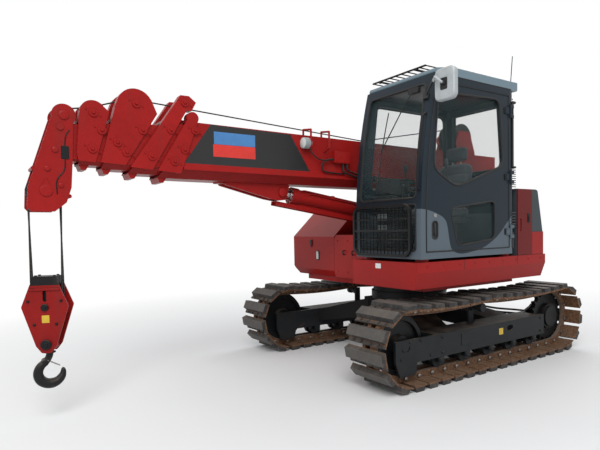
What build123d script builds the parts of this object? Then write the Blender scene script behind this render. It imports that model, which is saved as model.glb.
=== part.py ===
from build123d import *
import os
from math import atan, atan2, cos, degrees, hypot, pi, radians, sin, sqrt

os.makedirs("parts", exist_ok=True)

# Crawler crane with a cab and a five-section telescopic boom.
# Millimetres. +X is forward, +Y is the left side, +Z is up.
# The origin is on the ground under the slewing axis.

# ---------------------------------------------------------------- fits
SEAT = 0.3            # gap where one piece rests on another
RUN = 0.3             # radial clearance of pins, shafts and pads that slide
GLIDE = 8.0           # side clearance between pieces that move past each other
SEAM = 4.0            # open line between neighbouring panels
SHEET = 6.0           # pressed steel covers
PLATE = 12.0          # welded plates
LAP = 2.0             # how far a welded piece runs into the one that carries it

# ---------------------------------------------------------------- tracks
TRACK_Y = 935.0       # track centre line from the middle plane
AXLE_X = 1069.0       # idler and sprocket axles, forward and back of the slewing axis
PITCH_R = 278.0       # radius of the pin line round idler and sprocket
PAD_DROP = 70.0       # pin line to the ground
SHOE_COUNT = 39
SHOE_WIDTH = 450.0
SHOE_GAP = 13.0       # open slit between neighbouring shoes
SHOE_SEAT = 18.0      # pin line to the underside of a shoe plate
SHOE_PLATE = 12.0
SHOE_LIP = 34.0       # bare leading edge of a shoe, beside its rubber pad
PAD_BEVEL = 12.0
RAIL_IN = 35.0        # pin line to the running face of the link rails
RAIL_OUT = 28.5       # pin line to the back of the links, inside the shoe plates
RAIL_WIDTH = 34.0
RAIL_SPACE = 60.0     # clear width between the two link rails
FLANGE_WIDTH = 44.0   # guide flange of idler and sprocket, between the rails
FLANGE_RISE = 18.0    # how far that flange stands above the tread
IDLER_EASE = 1.2      # idler tread inside the rails, which dip away from it on top
HANG = 22.0           # how far the upper run sags between its supports
AXLE_Z = PITCH_R + PAD_DROP
TREAD_R = PITCH_R - RAIL_IN - SEAT
RAIL_SPAN = RAIL_SPACE + 2 * RAIL_WIDTH

# ---------------------------------------------------------------- track frames
BEAM_TOP = 400.0
BEAM_BOTTOM = 205.0
BEAM_HALF = 125.0     # half width of the side beam
BEAM_REAR = -AXLE_X + 209.0
BEAM_FRONT = AXLE_X - 349.0
FORK_FRONT = AXLE_X + 110.0
FORK_WALL = 25.0
GUARD_DROP = 95.0     # how far the rock guard reaches below the beam
AXLE_R = 40.0
ROLLER_R = 60.0
ROLLER_COUNT = 5
ROLLER_PITCH = 335.0
CARRIER_R = 40.0
CARRIER_X = 30.0
MOTOR_R = 130.0
SPROCKET_TEETH = 21
CARBODY_HALF_X = 350.0
CARBODY_HALF_Y = 330.0
CARBODY_BOTTOM = 345.0
CARBODY_TOP = 560.0
LEG_BOTTOM = 260.0
LEG_TOP = BEAM_TOP - 10.0
RING_R = 400.0
RING_BASE = 640.0
RING_TOP = 745.0

# ---------------------------------------------------------------- house
HOUSE_BOTTOM = 800.0
HOUSE_SIDE = 1125.0
TAIL_R = 1350.0
SKIRT_TOP = 1020.0
SKIRT_CREASE = 935.0
SKIRT_TUCK = 50.0     # how far the folded lower edges stand inside the sides
SKIRT_FRONT = 990.0
CENTRE_FRONT = 750.0
WEIGHT_TOP = 1240.0
WEIGHT_DEPTH = 450.0  # thickness of the cast weight behind the house
WEIGHT_FRONT = 790.0 - TAIL_R
SKIRT_REAR = WEIGHT_FRONT - 220.0
HOOD_TOP = 1650.0
HOOD_TAPER = 52.0     # how far the hood leans in from the tail's radius to its top
HOOD_ROUND = 24.0
TROUGH_LEFT = 290.0   # left wall of the trough that the boom lies in
TROUGH_RIGHT = -330.0
BAY_INNER = 235.0     # wall of the engine bay beside the mast

# ---------------------------------------------------------------- cab
CAB_RIGHT = 300.0
CAB_REAR = -320.0
CAB_FRONT = 950.0
CAB_FLOOR = 1045.0
CAB_EAVES = 2545.0
CAB_BEND_Z = CAB_FLOOR + 255.0    # where the upright front starts to lean back
CAB_BEND_R = 4875.0
CAB_CORNER = 110.0    # rear corners in plan
CAB_WALL = 45.0
CAB_DOOR_REAR = -195.0
CAB_DOOR_INSET = 60.0             # door opening inside the cab's side outline
ROOF_RISE = 175.0
GLASS = 8.0
GLASS_INSET = 15.0    # outer face of a pane behind the face of its wall
LEAF = 38.0

# ---------------------------------------------------------------- boom
FOOT_X = 170.0 - TAIL_R
FOOT_Z = 1897.0
BOOM_ANGLE = 0.5      # degrees above level, as the machine stands parked
BOOM_WALL = 8.0
BOOM_GAP = 14.0       # space between one section and the next
BASE_HALF_H = 217.0
BASE_HALF_W = 170.0
LOWER_FOLD = 66.0     # folded lower corners of the base section
SECTION_STEP = BOOM_WALL + BOOM_GAP
FOOT_PIN_R = 45.0
FOOT_SLEEVE_R = 75.0
MAST_WALL = 25.0
ROD_PIN_S = 2769.5    # rod pin of the luffing cylinder: along the boom from the foot pin,
ROD_PIN_T = -289.2    # and across it from the centre line
CYL_FOOT_X = FOOT_X + 208.0
CYL_FOOT_Z = 1203.0
CYL_R = 70.0
CYL_ROD_R = 42.0
CYL_PIN_R = 40.0
LUG_RISE = 30.0       # how far the foot's lugs stand round the pin
EYE_R = 56.0
EYE_HALF = 40.0
EAR = 20.0
SHEAVE_R = 98.0       # rope centre line on the sheaves
SHEAVE_RIM = 12.0
GROOVE_HALF = 10.0
SHEAVE_CHEEK = 5.0
ROPE_R = 5.5
HEAD_PIN = (4622.0, -338.0)
NOSE_PIN = (4501.0, 180.0)
HEAD_PIN_R = 22.0
NOSE_SHEAVE_R = 54.0

# ---------------------------------------------------------------- winch
WINCH_S = 420.0
WINCH_RISE = 195.0    # drum axis above the back of the boom
DRUM_R = 110.0
DRUM_HALF = 110.0
DRUM_FLANGE = 45.0
DRUM_SHAFT_R = 30.0

# ---------------------------------------------------------------- hook block
BLOCK_X = FOOT_X + 4630.0          # hangs below the boom head
BLOCK_Z = 806.0       # axle of the block's sheaves
BLOCK_TWIST = -26.0   # the block hangs turned a little about the vertical
BLOCK_HALF = 62.0     # half width over the cheek plates
BLOCK_PIN_R = 20.0
HOOK_PIN_Z = 551.0
HOOK_BOWL_Z = 345.0
HOOK_R = 78.0         # centre line of the bowl
SHANK_R = 24.0
FALL_Y = 34.0         # falls from the middle plane at the boom head
BLOCK_FALL_Y = 24.0   # and at the hook block


# ---------------------------------------------------------------- helpers
def sketch(outline):
    """A flat shape from its corner points, or the flat shape that was given."""
    return outline if isinstance(outline, (Sketch, Face, Compound)) else Polygon(*outline)


def rounded(points, radius):
    """A closed outline with all its corners rounded."""
    face = Polygon(*points)
    return fillet(face.vertices(), radius)


def block(x0, x1, y0, y1, z0, z1):
    """A box between six faces."""
    box = Box(x1 - x0, y1 - y0, z1 - z0)
    return Pos((x0 + x1) / 2, (y0 + y1) / 2, (z0 + z1) / 2) * box


def side_plate(outline, y0, y1):
    """A side-view outline of (x, z) points, between two y faces."""
    return extrude(Plane.XZ.offset(-y1) * sketch(outline), amount=y1 - y0, dir=(0, -1, 0))


def floor_plate(outline, z0, z1):
    """A plan outline of (x, y) points, between two z faces."""
    return extrude(Plane.XY.offset(z0) * sketch(outline), amount=z1 - z0, dir=(0, 0, 1))


def front_plate(outline, x0, x1):
    """A front-view outline of (y, z) points, between two x faces."""
    return extrude(Plane.YZ.offset(x0) * sketch(outline), amount=x1 - x0, dir=(1, 0, 0))


def disc_y(radius, x, z, y0, y1):
    """A cylinder that lies along Y."""
    return Pos(x, (y0 + y1) / 2, z) * Rot(90, 0, 0) * Cylinder(radius, y1 - y0)


def disc_z(radius, x, y, z0, z1):
    """A cylinder that stands along Z."""
    return Pos(x, y, (z0 + z1) / 2) * Cylinder(radius, z1 - z0)


def turned(profile):
    """A round body about the slewing axis from (radius, z) points."""
    return revolve(Plane.XZ * Polygon(*profile), Axis.Z)


def bar(start, end, radius):
    """A round bar from one point to another."""
    axis = Vector(*end) - Vector(*start)
    return Plane(origin=start, z_dir=axis) * Cylinder(
        radius, axis.length, align=(Align.CENTER, Align.CENTER, Align.MIN))


def tube_run(points, radius):
    """A bent tube through the points, with a ball at each bend."""
    run = Part()
    for start, end in zip(points, points[1:]):
        run += bar(start, end, radius)
    for point in points[1:-1]:
        run += Pos(*point) * Sphere(radius)
    return run


def mirrored(shape):
    """The same piece on the other side of the machine."""
    return mirror(shape, about=Plane.XZ)


pieces = {}


# ---------------------------------------------------------------- undercarriage
def hang(x):
    """How far the upper run hangs below its supports, and its slope in degrees."""
    near, far = (-AXLE_X, CARRIER_X) if x < CARRIER_X else (CARRIER_X, AXLE_X)
    share = (x - near) / (far - near)
    slope = 4 * HANG * (1 - 2 * share) / (far - near)
    return 4 * HANG * share * (1 - share), degrees(atan(slope))


def loop_outline(offset):
    """Side view of the track's line round both axles, outside the pin line by the offset."""
    radius = PITCH_R + offset
    spans = ((-AXLE_X, CARRIER_X), (CARRIER_X, AXLE_X))
    crests = []
    for near, far in spans:
        middle = (near + far) / 2
        crests.append(ThreePointArc((near, radius), (middle, radius - HANG), (far, radius)))
    front = ThreePointArc((AXLE_X, radius), (AXLE_X + radius, 0), (AXLE_X, -radius))
    lower = Line((AXLE_X, -radius), (-AXLE_X, -radius))
    rear = ThreePointArc((-AXLE_X, -radius), (-AXLE_X - radius, 0), (-AXLE_X, radius))
    return Pos(0, AXLE_Z) * make_face([*crests, front, lower, rear])


def shoe_place(distance):
    """Where a shoe sits on the pin line: x, z and its turn about Y."""
    straight = 2 * AXLE_X
    arc = pi * PITCH_R
    if distance < straight:
        return AXLE_X - distance, AXLE_Z - PITCH_R, 180.0
    distance -= straight
    if distance < arc:
        turn = distance / PITCH_R
        return -AXLE_X - PITCH_R * sin(turn), AXLE_Z - PITCH_R * cos(turn), 180.0 + degrees(turn)
    distance -= arc
    if distance < straight:
        x = -AXLE_X + distance
        drop, slope = hang(x)
        return x, AXLE_Z + PITCH_R - drop, slope
    turn = (distance - straight) / PITCH_R
    return AXLE_X + PITCH_R * sin(turn), AXLE_Z + PITCH_R * cos(turn), degrees(turn)


def track():
    """One crawler track: two link rails and the shoes with their rubber pads."""
    loop = 4 * AXLE_X + 2 * pi * PITCH_R
    pitch = loop / SHOE_COUNT
    half = (pitch - SHOE_GAP) / 2
    plate = SHOE_SEAT + SHOE_PLATE
    outline = ((-half, SHOE_SEAT), (half, SHOE_SEAT), (half, plate), (half - SHOE_LIP, plate),
               (half - SHOE_LIP - PAD_BEVEL, PAD_DROP), (-half + PAD_BEVEL, PAD_DROP))
    shoe = side_plate(outline, TRACK_Y - SHOE_WIDTH / 2, TRACK_Y + SHOE_WIDTH / 2)
    shoes = []
    for index in range(SHOE_COUNT):
        x, z, turn = shoe_place((index + 0.5) * pitch)
        shoes.append(Pos(x, 0, z) * Rot(0, turn, 0) * shoe)
    corners = []
    for index in range(SHOE_COUNT):
        x, z, turn = shoe_place((index + 0.5) * pitch)
        lean = radians(turn)
        corners.append((x + RAIL_OUT * sin(lean), z + RAIL_OUT * cos(lean)))
    ring = Polygon(*corners) - loop_outline(-RAIL_IN)
    inner = TRACK_Y - RAIL_SPAN / 2
    outer = TRACK_Y + RAIL_SPACE / 2
    rails = [side_plate(ring, y, y + RAIL_WIDTH) for y in (inner, outer)]
    return rails[0].fuse(rails[1], *shoes)


def roller(radius, x, z):
    """A double roller, waisted between the two rails."""
    half = RAIL_SPAN / 2 + GLIDE
    neck = RAIL_SPACE / 2
    body = disc_y(radius, x, z, TRACK_Y - half, TRACK_Y + half)
    waist = disc_y(radius + 1, x, z, TRACK_Y - neck, TRACK_Y + neck)
    return body - (waist - disc_y(radius * 0.7, x, z, TRACK_Y - neck, TRACK_Y + neck))


def track_frame():
    """A side beam with its fork, rock guard, rollers, carrier roller and motor plate."""
    y0, y1 = TRACK_Y - BEAM_HALF, TRACK_Y + BEAM_HALF
    beam = block(BEAM_REAR, BEAM_FRONT, y0, y1, BEAM_BOTTOM, BEAM_TOP)
    beam -= block(BEAM_REAR + PLATE, BEAM_FRONT - PLATE, y0 + PLATE, y1 - PLATE,
                  BEAM_BOTTOM - 1, BEAM_TOP - PLATE)
    cheek = ((BEAM_FRONT, BEAM_BOTTOM), (BEAM_FRONT + 220, BEAM_BOTTOM),
             (BEAM_FRONT + 240, BEAM_BOTTOM - GUARD_DROP),
             (FORK_FRONT - 45, BEAM_BOTTOM - GUARD_DROP), (FORK_FRONT, BEAM_BOTTOM + 25),
             (FORK_FRONT, BEAM_TOP), (BEAM_FRONT, BEAM_TOP))
    for y in (y0, y1 - FORK_WALL):
        beam += side_plate(cheek, y, y + FORK_WALL)
    sprocket_room = disc_y(TREAD_R + FLANGE_RISE + GLIDE, -AXLE_X, AXLE_Z,
                           TRACK_Y - RAIL_SPAN / 2 - PLATE, TRACK_Y + RAIL_SPAN / 2 + PLATE)
    beam -= sprocket_room
    window = SlotOverall(90, 50)
    for x in (BEAM_REAR + 560, BEAM_FRONT + 345):
        cut = Pos(x, (BEAM_TOP + BEAM_BOTTOM) / 2 + 30) * window
        beam -= side_plate(cut, y1 - FORK_WALL - 1, y1 + 1)
    beam += disc_y(AXLE_R, AXLE_X, AXLE_Z, y0 + LAP, y1 - LAP)
    roller_z = PAD_DROP + RAIL_IN + ROLLER_R + SEAT
    for index in range(ROLLER_COUNT):
        x = (index - (ROLLER_COUNT - 1) / 2) * ROLLER_PITCH - 20
        beam += disc_y(22, x, roller_z + 8, y0 + LAP, y1 - LAP)
        beam += roller(ROLLER_R, x, roller_z)
        for y in (y0, y1 - PLATE):
            beam += block(x - 32, x + 32, y, y + PLATE, roller_z - 20, BEAM_BOTTOM + LAP)
    carrier_z = AXLE_Z + PITCH_R - RAIL_IN - CARRIER_R - SEAT
    beam += roller(CARRIER_R, CARRIER_X, carrier_z)
    arm = TRACK_Y - RAIL_SPAN / 2 - GLIDE
    beam += block(CARRIER_X - 35, CARRIER_X + 35, arm - 18, arm + LAP, BEAM_TOP - LAP,
                  carrier_z + 35)
    plate = ((BEAM_REAR, BEAM_BOTTOM), (BEAM_REAR, BEAM_TOP), (-AXLE_X, AXLE_Z + MOTOR_R),
             (-AXLE_X, AXLE_Z - MOTOR_R))
    beam += side_plate(plate, y0, y0 + FORK_WALL)
    return beam + disc_y(MOTOR_R, -AXLE_X, AXLE_Z, y0, y0 + FORK_WALL)


def idler():
    """Front guide wheel, bored for its fixed axle."""
    half = RAIL_SPAN / 2
    hub = half + 15
    tread = TREAD_R - IDLER_EASE
    profile = ((0, 0), (hub, 0), (hub, 80), (half - 30, 95), (half - 30, tread - 40),
               (half, tread - 34), (half, tread), (FLANGE_WIDTH / 2, tread),
               (FLANGE_WIDTH / 2 - 6, tread + FLANGE_RISE), (0, tread + FLANGE_RISE))
    wheel = revolve(sketch(profile), Axis.X)
    wheel += mirror(wheel, about=Plane.YZ)
    wheel -= Rot(0, 90, 0) * Cylinder(AXLE_R + RUN, 2 * hub + 2)
    return Pos(AXLE_X, TRACK_Y, AXLE_Z) * Rot(0, 0, 90) * wheel


def sprocket():
    """Drive sprocket with its travel motor, bolted to the rear plate."""
    half = FLANGE_WIDTH / 2
    wheel = disc_y(TREAD_R - PLATE, -AXLE_X, AXLE_Z, TRACK_Y - half, TRACK_Y + half)
    tip = TREAD_R + FLANGE_RISE
    root = TREAD_R - 25
    tooth = side_plate(((-18, root), (18, root), (9, tip), (-9, tip)),
                       TRACK_Y - half, TRACK_Y + half)
    place = Pos(-AXLE_X, 0, AXLE_Z)
    turns = [360 * number / SPROCKET_TEETH for number in range(SPROCKET_TEETH)]
    wheel = wheel.fuse(*[place * Rot(0, turn, 0) * tooth for turn in turns])
    plate_y = TRACK_Y - BEAM_HALF + FORK_WALL + SEAT
    wheel += disc_y(MOTOR_R, -AXLE_X, AXLE_Z, plate_y, TRACK_Y + 60)
    return wheel + disc_y(MOTOR_R - 25, -AXLE_X, AXLE_Z, TRACK_Y + 60 - LAP, TRACK_Y + 78)


def car_body():
    """Centre frame: a box, four splayed arms with falling tops and the turntable seat."""
    body = block(-CARBODY_HALF_X, CARBODY_HALF_X, -CARBODY_HALF_Y, CARBODY_HALF_Y,
                 CARBODY_BOTTOM, CARBODY_TOP)
    reach = TRACK_Y - BEAM_HALF - SEAT
    root = CARBODY_HALF_Y - 60
    plan = ((-60, -40), (60, -40), (CARBODY_HALF_X, root), (640, reach), (300, reach))
    fall = front_plate(((0, CARBODY_BOTTOM), (root, CARBODY_BOTTOM), (reach, LEG_BOTTOM),
                        (reach, LEG_TOP), (root, CARBODY_TOP - 15), (0, CARBODY_TOP - 15)),
                       -AXLE_X, AXLE_X)
    fall += mirrored(fall)
    for mirror_x in (1, -1):
        for mirror_y in (1, -1):
            points = [(mirror_x * x, mirror_y * y) for x, y in plan]
            body += floor_plate(points, LEG_BOTTOM - 1, CARBODY_TOP - 1) & fall
    return body + disc_z(RING_R, 0, 0, CARBODY_TOP - LAP, RING_BASE)


pieces["car_body"] = car_body()
pieces["slewing_ring"] = disc_z(RING_R - 20, 0, 0, RING_BASE, RING_TOP)
left_frame = track_frame()
pieces["track_frame_left"] = left_frame
pieces["track_frame_right"] = mirrored(left_frame)
left_track = track()
pieces["track_left"] = left_track
pieces["track_right"] = mirrored(left_track)
left_idler = idler()
pieces["idler_left"] = left_idler
pieces["idler_right"] = mirrored(left_idler)
left_sprocket = sprocket()
pieces["sprocket_left"] = left_sprocket
pieces["sprocket_right"] = mirrored(left_sprocket)


# ---------------------------------------------------------------- house
MAST_Y = BASE_HALF_W + GLIDE      # inner face of each mast plate
TAIL_INNER = WEIGHT_DEPTH - TAIL_R
DOOR_FRONT = CAB_REAR - GLIDE
LEFT_EDGE = HOUSE_SIDE - SKIRT_TUCK


def swing_frame():
    """Deck on the slewing ring, with the two mast plates that carry the boom."""
    deck_rear = TAIL_INNER - 100
    deck = floor_plate(((700, -900), (700, 900), (WEIGHT_FRONT, 900), (deck_rear, 500),
                        (deck_rear, -500), (WEIGHT_FRONT, -900)),
                       RING_TOP + SEAT, HOUSE_BOTTOM - SEAT)
    mast = ((FOOT_X - 50, WEIGHT_TOP + 5), (FOOT_X - FOOT_SLEEVE_R, FOOT_Z),
            (FOOT_X + FOOT_SLEEVE_R, FOOT_Z), (FOOT_X + 480, 1420), (300, 1180),
            (680, HOUSE_BOTTOM + 20), (680, HOUSE_BOTTOM - 20),
            (TAIL_INNER + 20, HOUSE_BOTTOM - 20), (TAIL_INNER + 20, HOUSE_BOTTOM + 260),
            (FOOT_X + 70, HOUSE_BOTTOM + 260), (FOOT_X + 70, WEIGHT_TOP + 5))
    hollow = rounded(((FOOT_X + 300, 960), (FOOT_X + 300, 1320), (FOOT_X + 620, 1250),
                      (20, 1100), (120, 960)), 60)
    for y in (-MAST_Y - MAST_WALL, MAST_Y):
        deck += side_plate(mast, y, y + MAST_WALL)
        deck += disc_y(FOOT_SLEEVE_R, FOOT_X, FOOT_Z, y, y + MAST_WALL)
    deck -= side_plate(hollow, -MAST_Y - MAST_WALL - 1, MAST_Y + MAST_WALL + 1)
    for x, z, height in ((FOOT_X + 640, HOUSE_BOTTOM + 40, 60), (FOOT_X + 75, 1080, 150)):
        deck += block(x, x + PLATE, -MAST_Y - LAP, MAST_Y + LAP, z, z + height)
    deck += disc_y(FOOT_PIN_R, FOOT_X, FOOT_Z, -MAST_Y - LAP, MAST_Y + LAP)
    for sign in (-1, 1):
        cheek = sign * (EYE_HALF + SEAT)
        lug = sorted((cheek, sign * (MAST_Y + LAP)))
        deck += disc_y(CYL_PIN_R + LUG_RISE, CYL_FOOT_X, CYL_FOOT_Z, *lug)
    return deck + disc_y(CYL_PIN_R, CYL_FOOT_X, CYL_FOOT_Z, -MAST_Y, MAST_Y)


def counterweight():
    """Cast weight that wraps the rear corners, folded in along its lower edge."""
    weight = turned(((0, HOUSE_BOTTOM), (TAIL_R - SKIRT_TUCK, HOUSE_BOTTOM),
                     (TAIL_R, SKIRT_CREASE), (TAIL_R, WEIGHT_TOP), (0, WEIGHT_TOP)))
    section = ((-LEFT_EDGE, HOUSE_BOTTOM), (LEFT_EDGE, HOUSE_BOTTOM),
               (HOUSE_SIDE, SKIRT_CREASE), (HOUSE_SIDE, WEIGHT_TOP), (-HOUSE_SIDE, WEIGHT_TOP),
               (-HOUSE_SIDE, SKIRT_CREASE))
    weight &= front_plate(section, -TAIL_R, WEIGHT_FRONT)
    weight -= block(TAIL_INNER, 0, -900, 900, HOUSE_BOTTOM - 1, WEIGHT_TOP + 1)
    slot = MAST_Y + MAST_WALL + GLIDE
    weight -= block(FOOT_X + 55, 0, -slot, slot, HOUSE_BOTTOM + 250, WEIGHT_TOP + 1)
    rebate = ((LEFT_EDGE - PLATE - SEAM, HOUSE_BOTTOM - 1), (HOUSE_SIDE + 1, HOUSE_BOTTOM - 1),
              (HOUSE_SIDE + 1, SKIRT_TOP + SEAM), (HOUSE_SIDE - PLATE - SEAM, SKIRT_TOP + SEAM),
              (HOUSE_SIDE - PLATE - SEAM, SKIRT_CREASE + LAP))
    weight -= front_plate(rebate, SKIRT_REAR - SEAM, WEIGHT_FRONT + 1)
    return weight


def left_skirt():
    """Red skirt under the cab: folded side wall, front wall and top, with cab mounts."""
    y0, y1 = TROUGH_LEFT, HOUSE_SIDE
    top = block(WEIGHT_FRONT + SEAM, SKIRT_FRONT, y0, y1, SKIRT_TOP - PLATE, SKIRT_TOP)
    front = front_plate(((y0, HOUSE_BOTTOM), (LEFT_EDGE, HOUSE_BOTTOM), (y1, SKIRT_CREASE),
                         (y1, SKIRT_TOP), (y0, SKIRT_TOP)), SKIRT_FRONT - PLATE, SKIRT_FRONT)
    wall = ((LEFT_EDGE, HOUSE_BOTTOM), (y1, SKIRT_CREASE), (y1, SKIRT_TOP),
            (y1 - PLATE, SKIRT_TOP), (y1 - PLATE, SKIRT_CREASE + LAP),
            (LEFT_EDGE - PLATE, HOUSE_BOTTOM))
    skirt = top + front + front_plate(wall, SKIRT_REAR, SKIRT_FRONT)
    skirt += block(WEIGHT_FRONT + SEAM, SKIRT_FRONT, y0, y0 + PLATE, HOUSE_BOTTOM, SKIRT_TOP)
    for x in (CAB_REAR + 90, SKIRT_FRONT - 140):
        for y in (CAB_RIGHT + 90, HOUSE_SIDE - 90):
            skirt += disc_z(55, x, y, SKIRT_TOP - LAP, CAB_FLOOR - SEAT)
    return skirt


def centre_panel():
    """Front panel between the cab and the tool box: a folded sheet with rounded shoulders."""
    y0, y1 = TROUGH_RIGHT + SEAM, TROUGH_LEFT - SEAM
    arch = rounded(((y0, HOUSE_BOTTOM), (y1, HOUSE_BOTTOM), (y1, WEIGHT_TOP), (y0, WEIGHT_TOP)),
                   55)
    panel = front_plate(arch, CENTRE_FRONT - PLATE, CENTRE_FRONT)
    return panel + block(560, CENTRE_FRONT - LAP, -150, 150, HOUSE_BOTTOM, HOUSE_BOTTOM + PLATE)


def engine_bay():
    """Walls of the bay behind the cab: front, inner side and top, open at the left."""
    y1 = HOUSE_SIDE - PLATE
    floor = SKIRT_TOP + SEAT
    bay = block(WEIGHT_FRONT, DOOR_FRONT, BAY_INNER, y1, floor, HOOD_TOP)
    return bay - block(WEIGHT_FRONT - 1, DOOR_FRONT - SHEET, BAY_INNER + SHEET, y1 + 1,
                       floor + SHEET, HOOD_TOP - SHEET)


def hood_shell(y0, y1, front):
    """Half of the tapering rear hood between two y faces, open below and in front."""
    low = WEIGHT_TOP + SEAT
    def body(inset, face, bottom):
        top = HOOD_TOP - inset
        core = turned(((0, bottom), (TAIL_R - SHEET - inset, bottom),
                       (TAIL_R - HOOD_TAPER - inset, top), (0, top)))
        return core & block(-TAIL_R, face, y0 + inset, y1 - inset, bottom, HOOD_TOP)
    outer = body(0, front, low)
    rim = outer.edges().group_by(Axis.Z)[-1].filter_by(GeomType.CIRCLE)
    outer = fillet(rim, HOOD_ROUND)
    return outer - body(SHEET, front + 1, low - 1)


def service_door():
    """Red door of the engine bay, a folded tray hung at its rear edge."""
    door = block(WEIGHT_FRONT + 2, DOOR_FRONT - 2, HOUSE_SIDE - PLATE + SEAT, HOUSE_SIDE,
                 SKIRT_TOP + SEAM, HOOD_TOP - 2)
    pull = Pos(DOOR_FRONT - 45, 1310) * SlotOverall(120, 34, rotation=90)
    return door - side_plate(pull, HOUSE_SIDE - SHEET, HOUSE_SIDE + 1)


# ---------------------------------------------------------------- right side of the house
BOX_FRONT = 750.0
BOX_REAR = 447.0
BOX_SEAM = 1153.0
BOX_BROW = 1222.0
BOX_TOP = 1506.0
BOX_FOLD = 863.0      # crease of the front wall, below which it leans back
BOX_LEAN = 28.0
BOX_CHAMFER = 88.0
BOX_WALL = 10.0


def right_side_section(side, bottom, top):
    """Front view of the right housing: (y, z) points."""
    return ((TROUGH_RIGHT, bottom), (TROUGH_RIGHT, top), (side, top),
            (side, bottom + BOX_CHAMFER), (side + BOX_CHAMFER, bottom))


def right_housing():
    """Tank housing on the right, with the fixed right half of the rear hood."""
    x0, x1 = WEIGHT_FRONT + SEAM, BOX_REAR - 2
    house = front_plate(right_side_section(-HOUSE_SIDE, HOUSE_BOTTOM, BOX_TOP), x0, x1)
    hollow = right_side_section(-HOUSE_SIDE + BOX_WALL, HOUSE_BOTTOM - 5, BOX_TOP - BOX_WALL)
    hollow = [(min(y, TROUGH_RIGHT - BOX_WALL), z) for y, z in hollow]
    house -= front_plate(hollow, x0 + BOX_WALL, x1 - BOX_WALL)
    return house + hood_shell(-HOUSE_SIDE + BOX_WALL, -BAY_INNER, x0 + LAP)


def tool_box():
    """Open-topped box at the right front corner, its front wall leaning back low down."""
    outer = front_plate(right_side_section(-HOUSE_SIDE, HOUSE_BOTTOM, BOX_SEAM),
                        BOX_REAR, BOX_FRONT)
    profile = ((BOX_REAR, HOUSE_BOTTOM), (BOX_FRONT - BOX_LEAN, HOUSE_BOTTOM),
               (BOX_FRONT, BOX_FOLD), (BOX_FRONT, BOX_SEAM), (BOX_REAR, BOX_SEAM))
    outer &= side_plate(profile, -HOUSE_SIDE, TROUGH_RIGHT)
    well = block(BOX_REAR + BOX_WALL, BOX_FRONT - BOX_WALL, -HOUSE_SIDE + BOX_WALL,
                 TROUGH_RIGHT - BOX_WALL, HOUSE_BOTTOM + BOX_CHAMFER + BOX_WALL, BOX_SEAM + 1)
    return outer - well


def tool_box_lid():
    """Sloping lid of the tool box, hinged at its top rear edge."""
    lid = side_plate(((BOX_REAR, BOX_SEAM + SEAT), (BOX_FRONT, BOX_SEAM + SEAT),
                      (BOX_FRONT, BOX_BROW), (BOX_REAR, BOX_TOP)), -HOUSE_SIDE, TROUGH_RIGHT)
    slope = (BOX_TOP - BOX_BROW) / (BOX_FRONT - BOX_REAR)
    drop = SHEET * sqrt(1 + slope ** 2)
    room = side_plate(((BOX_REAR + SHEET, BOX_SEAM - 1), (BOX_FRONT - SHEET, BOX_SEAM - 1),
                       (BOX_FRONT - SHEET, BOX_BROW - drop + slope * SHEET),
                       (BOX_REAR + SHEET, BOX_TOP - drop - slope * SHEET)),
                      -HOUSE_SIDE + SHEET, TROUGH_RIGHT - SHEET)
    return lid - room


pieces["swing_frame"] = swing_frame()
pieces["counterweight"] = counterweight()
pieces["left_skirt"] = left_skirt()
pieces["centre_panel"] = centre_panel()
pieces["engine_bay"] = engine_bay()
pieces["engine_hood"] = hood_shell(BAY_INNER, HOUSE_SIDE - BOX_WALL, WEIGHT_FRONT - 2)
pieces["service_door"] = service_door()
pieces["engine"] = block(TAIL_INNER + 40, WEIGHT_FRONT - 30, 400, 850, HOUSE_BOTTOM, 1500)
pieces["right_housing"] = right_housing()
pieces["tool_box"] = tool_box()
pieces["tool_box_lid"] = tool_box_lid()


# ---------------------------------------------------------------- cab
DOOR_GAP = 6.0
HEADER = 75.0         # frame above the upper windscreen
SILL = 70.0           # frame below the lower windscreen
PILLAR = 60.0         # front pillars, seen from the front
SCREEN_BAR = (CAB_FLOOR + 445.0, CAB_FLOOR + 495.0)
REAR_WINDOW = (CAB_EAVES - 700.0, CAB_EAVES - 105.0)
QUARTER_FRONT = CAB_DOOR_REAR - 58.0
HINGE_X = CAB_DOOR_REAR - 14.0
HINGE_Y = HOUSE_SIDE + 12.0
HINGE_R = 11.0
HINGE_HALF = 30.0
HINGE_LEAF = 50.0
HINGE_HEIGHTS = (CAB_FLOOR + 205.0, CAB_FLOOR + 705.0, CAB_EAVES - 195.0)


def front_x(z, inset=0.0):
    """How far forward the cab's front stands at a height."""
    if z <= CAB_BEND_Z:
        return CAB_FRONT - inset
    radius = CAB_BEND_R - inset
    return CAB_FRONT - CAB_BEND_R + sqrt(radius ** 2 - (z - CAB_BEND_Z) ** 2)


def cab_profile(inset, rear=CAB_REAR):
    """Side view of the cab, drawn in by the inset, from a rear edge forward."""
    low, high = CAB_FLOOR + inset, CAB_EAVES - inset
    middle = (CAB_BEND_Z + high) / 2
    back = max(CAB_REAR + inset, rear)
    curve = ThreePointArc((front_x(CAB_BEND_Z, inset), CAB_BEND_Z),
                          (front_x(middle, inset), middle), (front_x(high, inset), high))
    rest = Polyline((front_x(high, inset), high), (back, high), (back, low),
                    (CAB_FRONT - inset, low), (CAB_FRONT - inset, CAB_BEND_Z))
    return make_face([curve, rest])


def cab_shape(inset):
    """The cab's closed form: its side view, with the rear corners rounded in plan."""
    y0, y1 = CAB_RIGHT + inset, HOUSE_SIDE - inset
    form = side_plate(sketch(cab_profile(inset)), y0, y1)
    corners = form.edges().filter_by(Axis.Z).group_by(Axis.X)[0]
    return fillet(corners, CAB_CORNER - 1.6 * inset)


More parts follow.
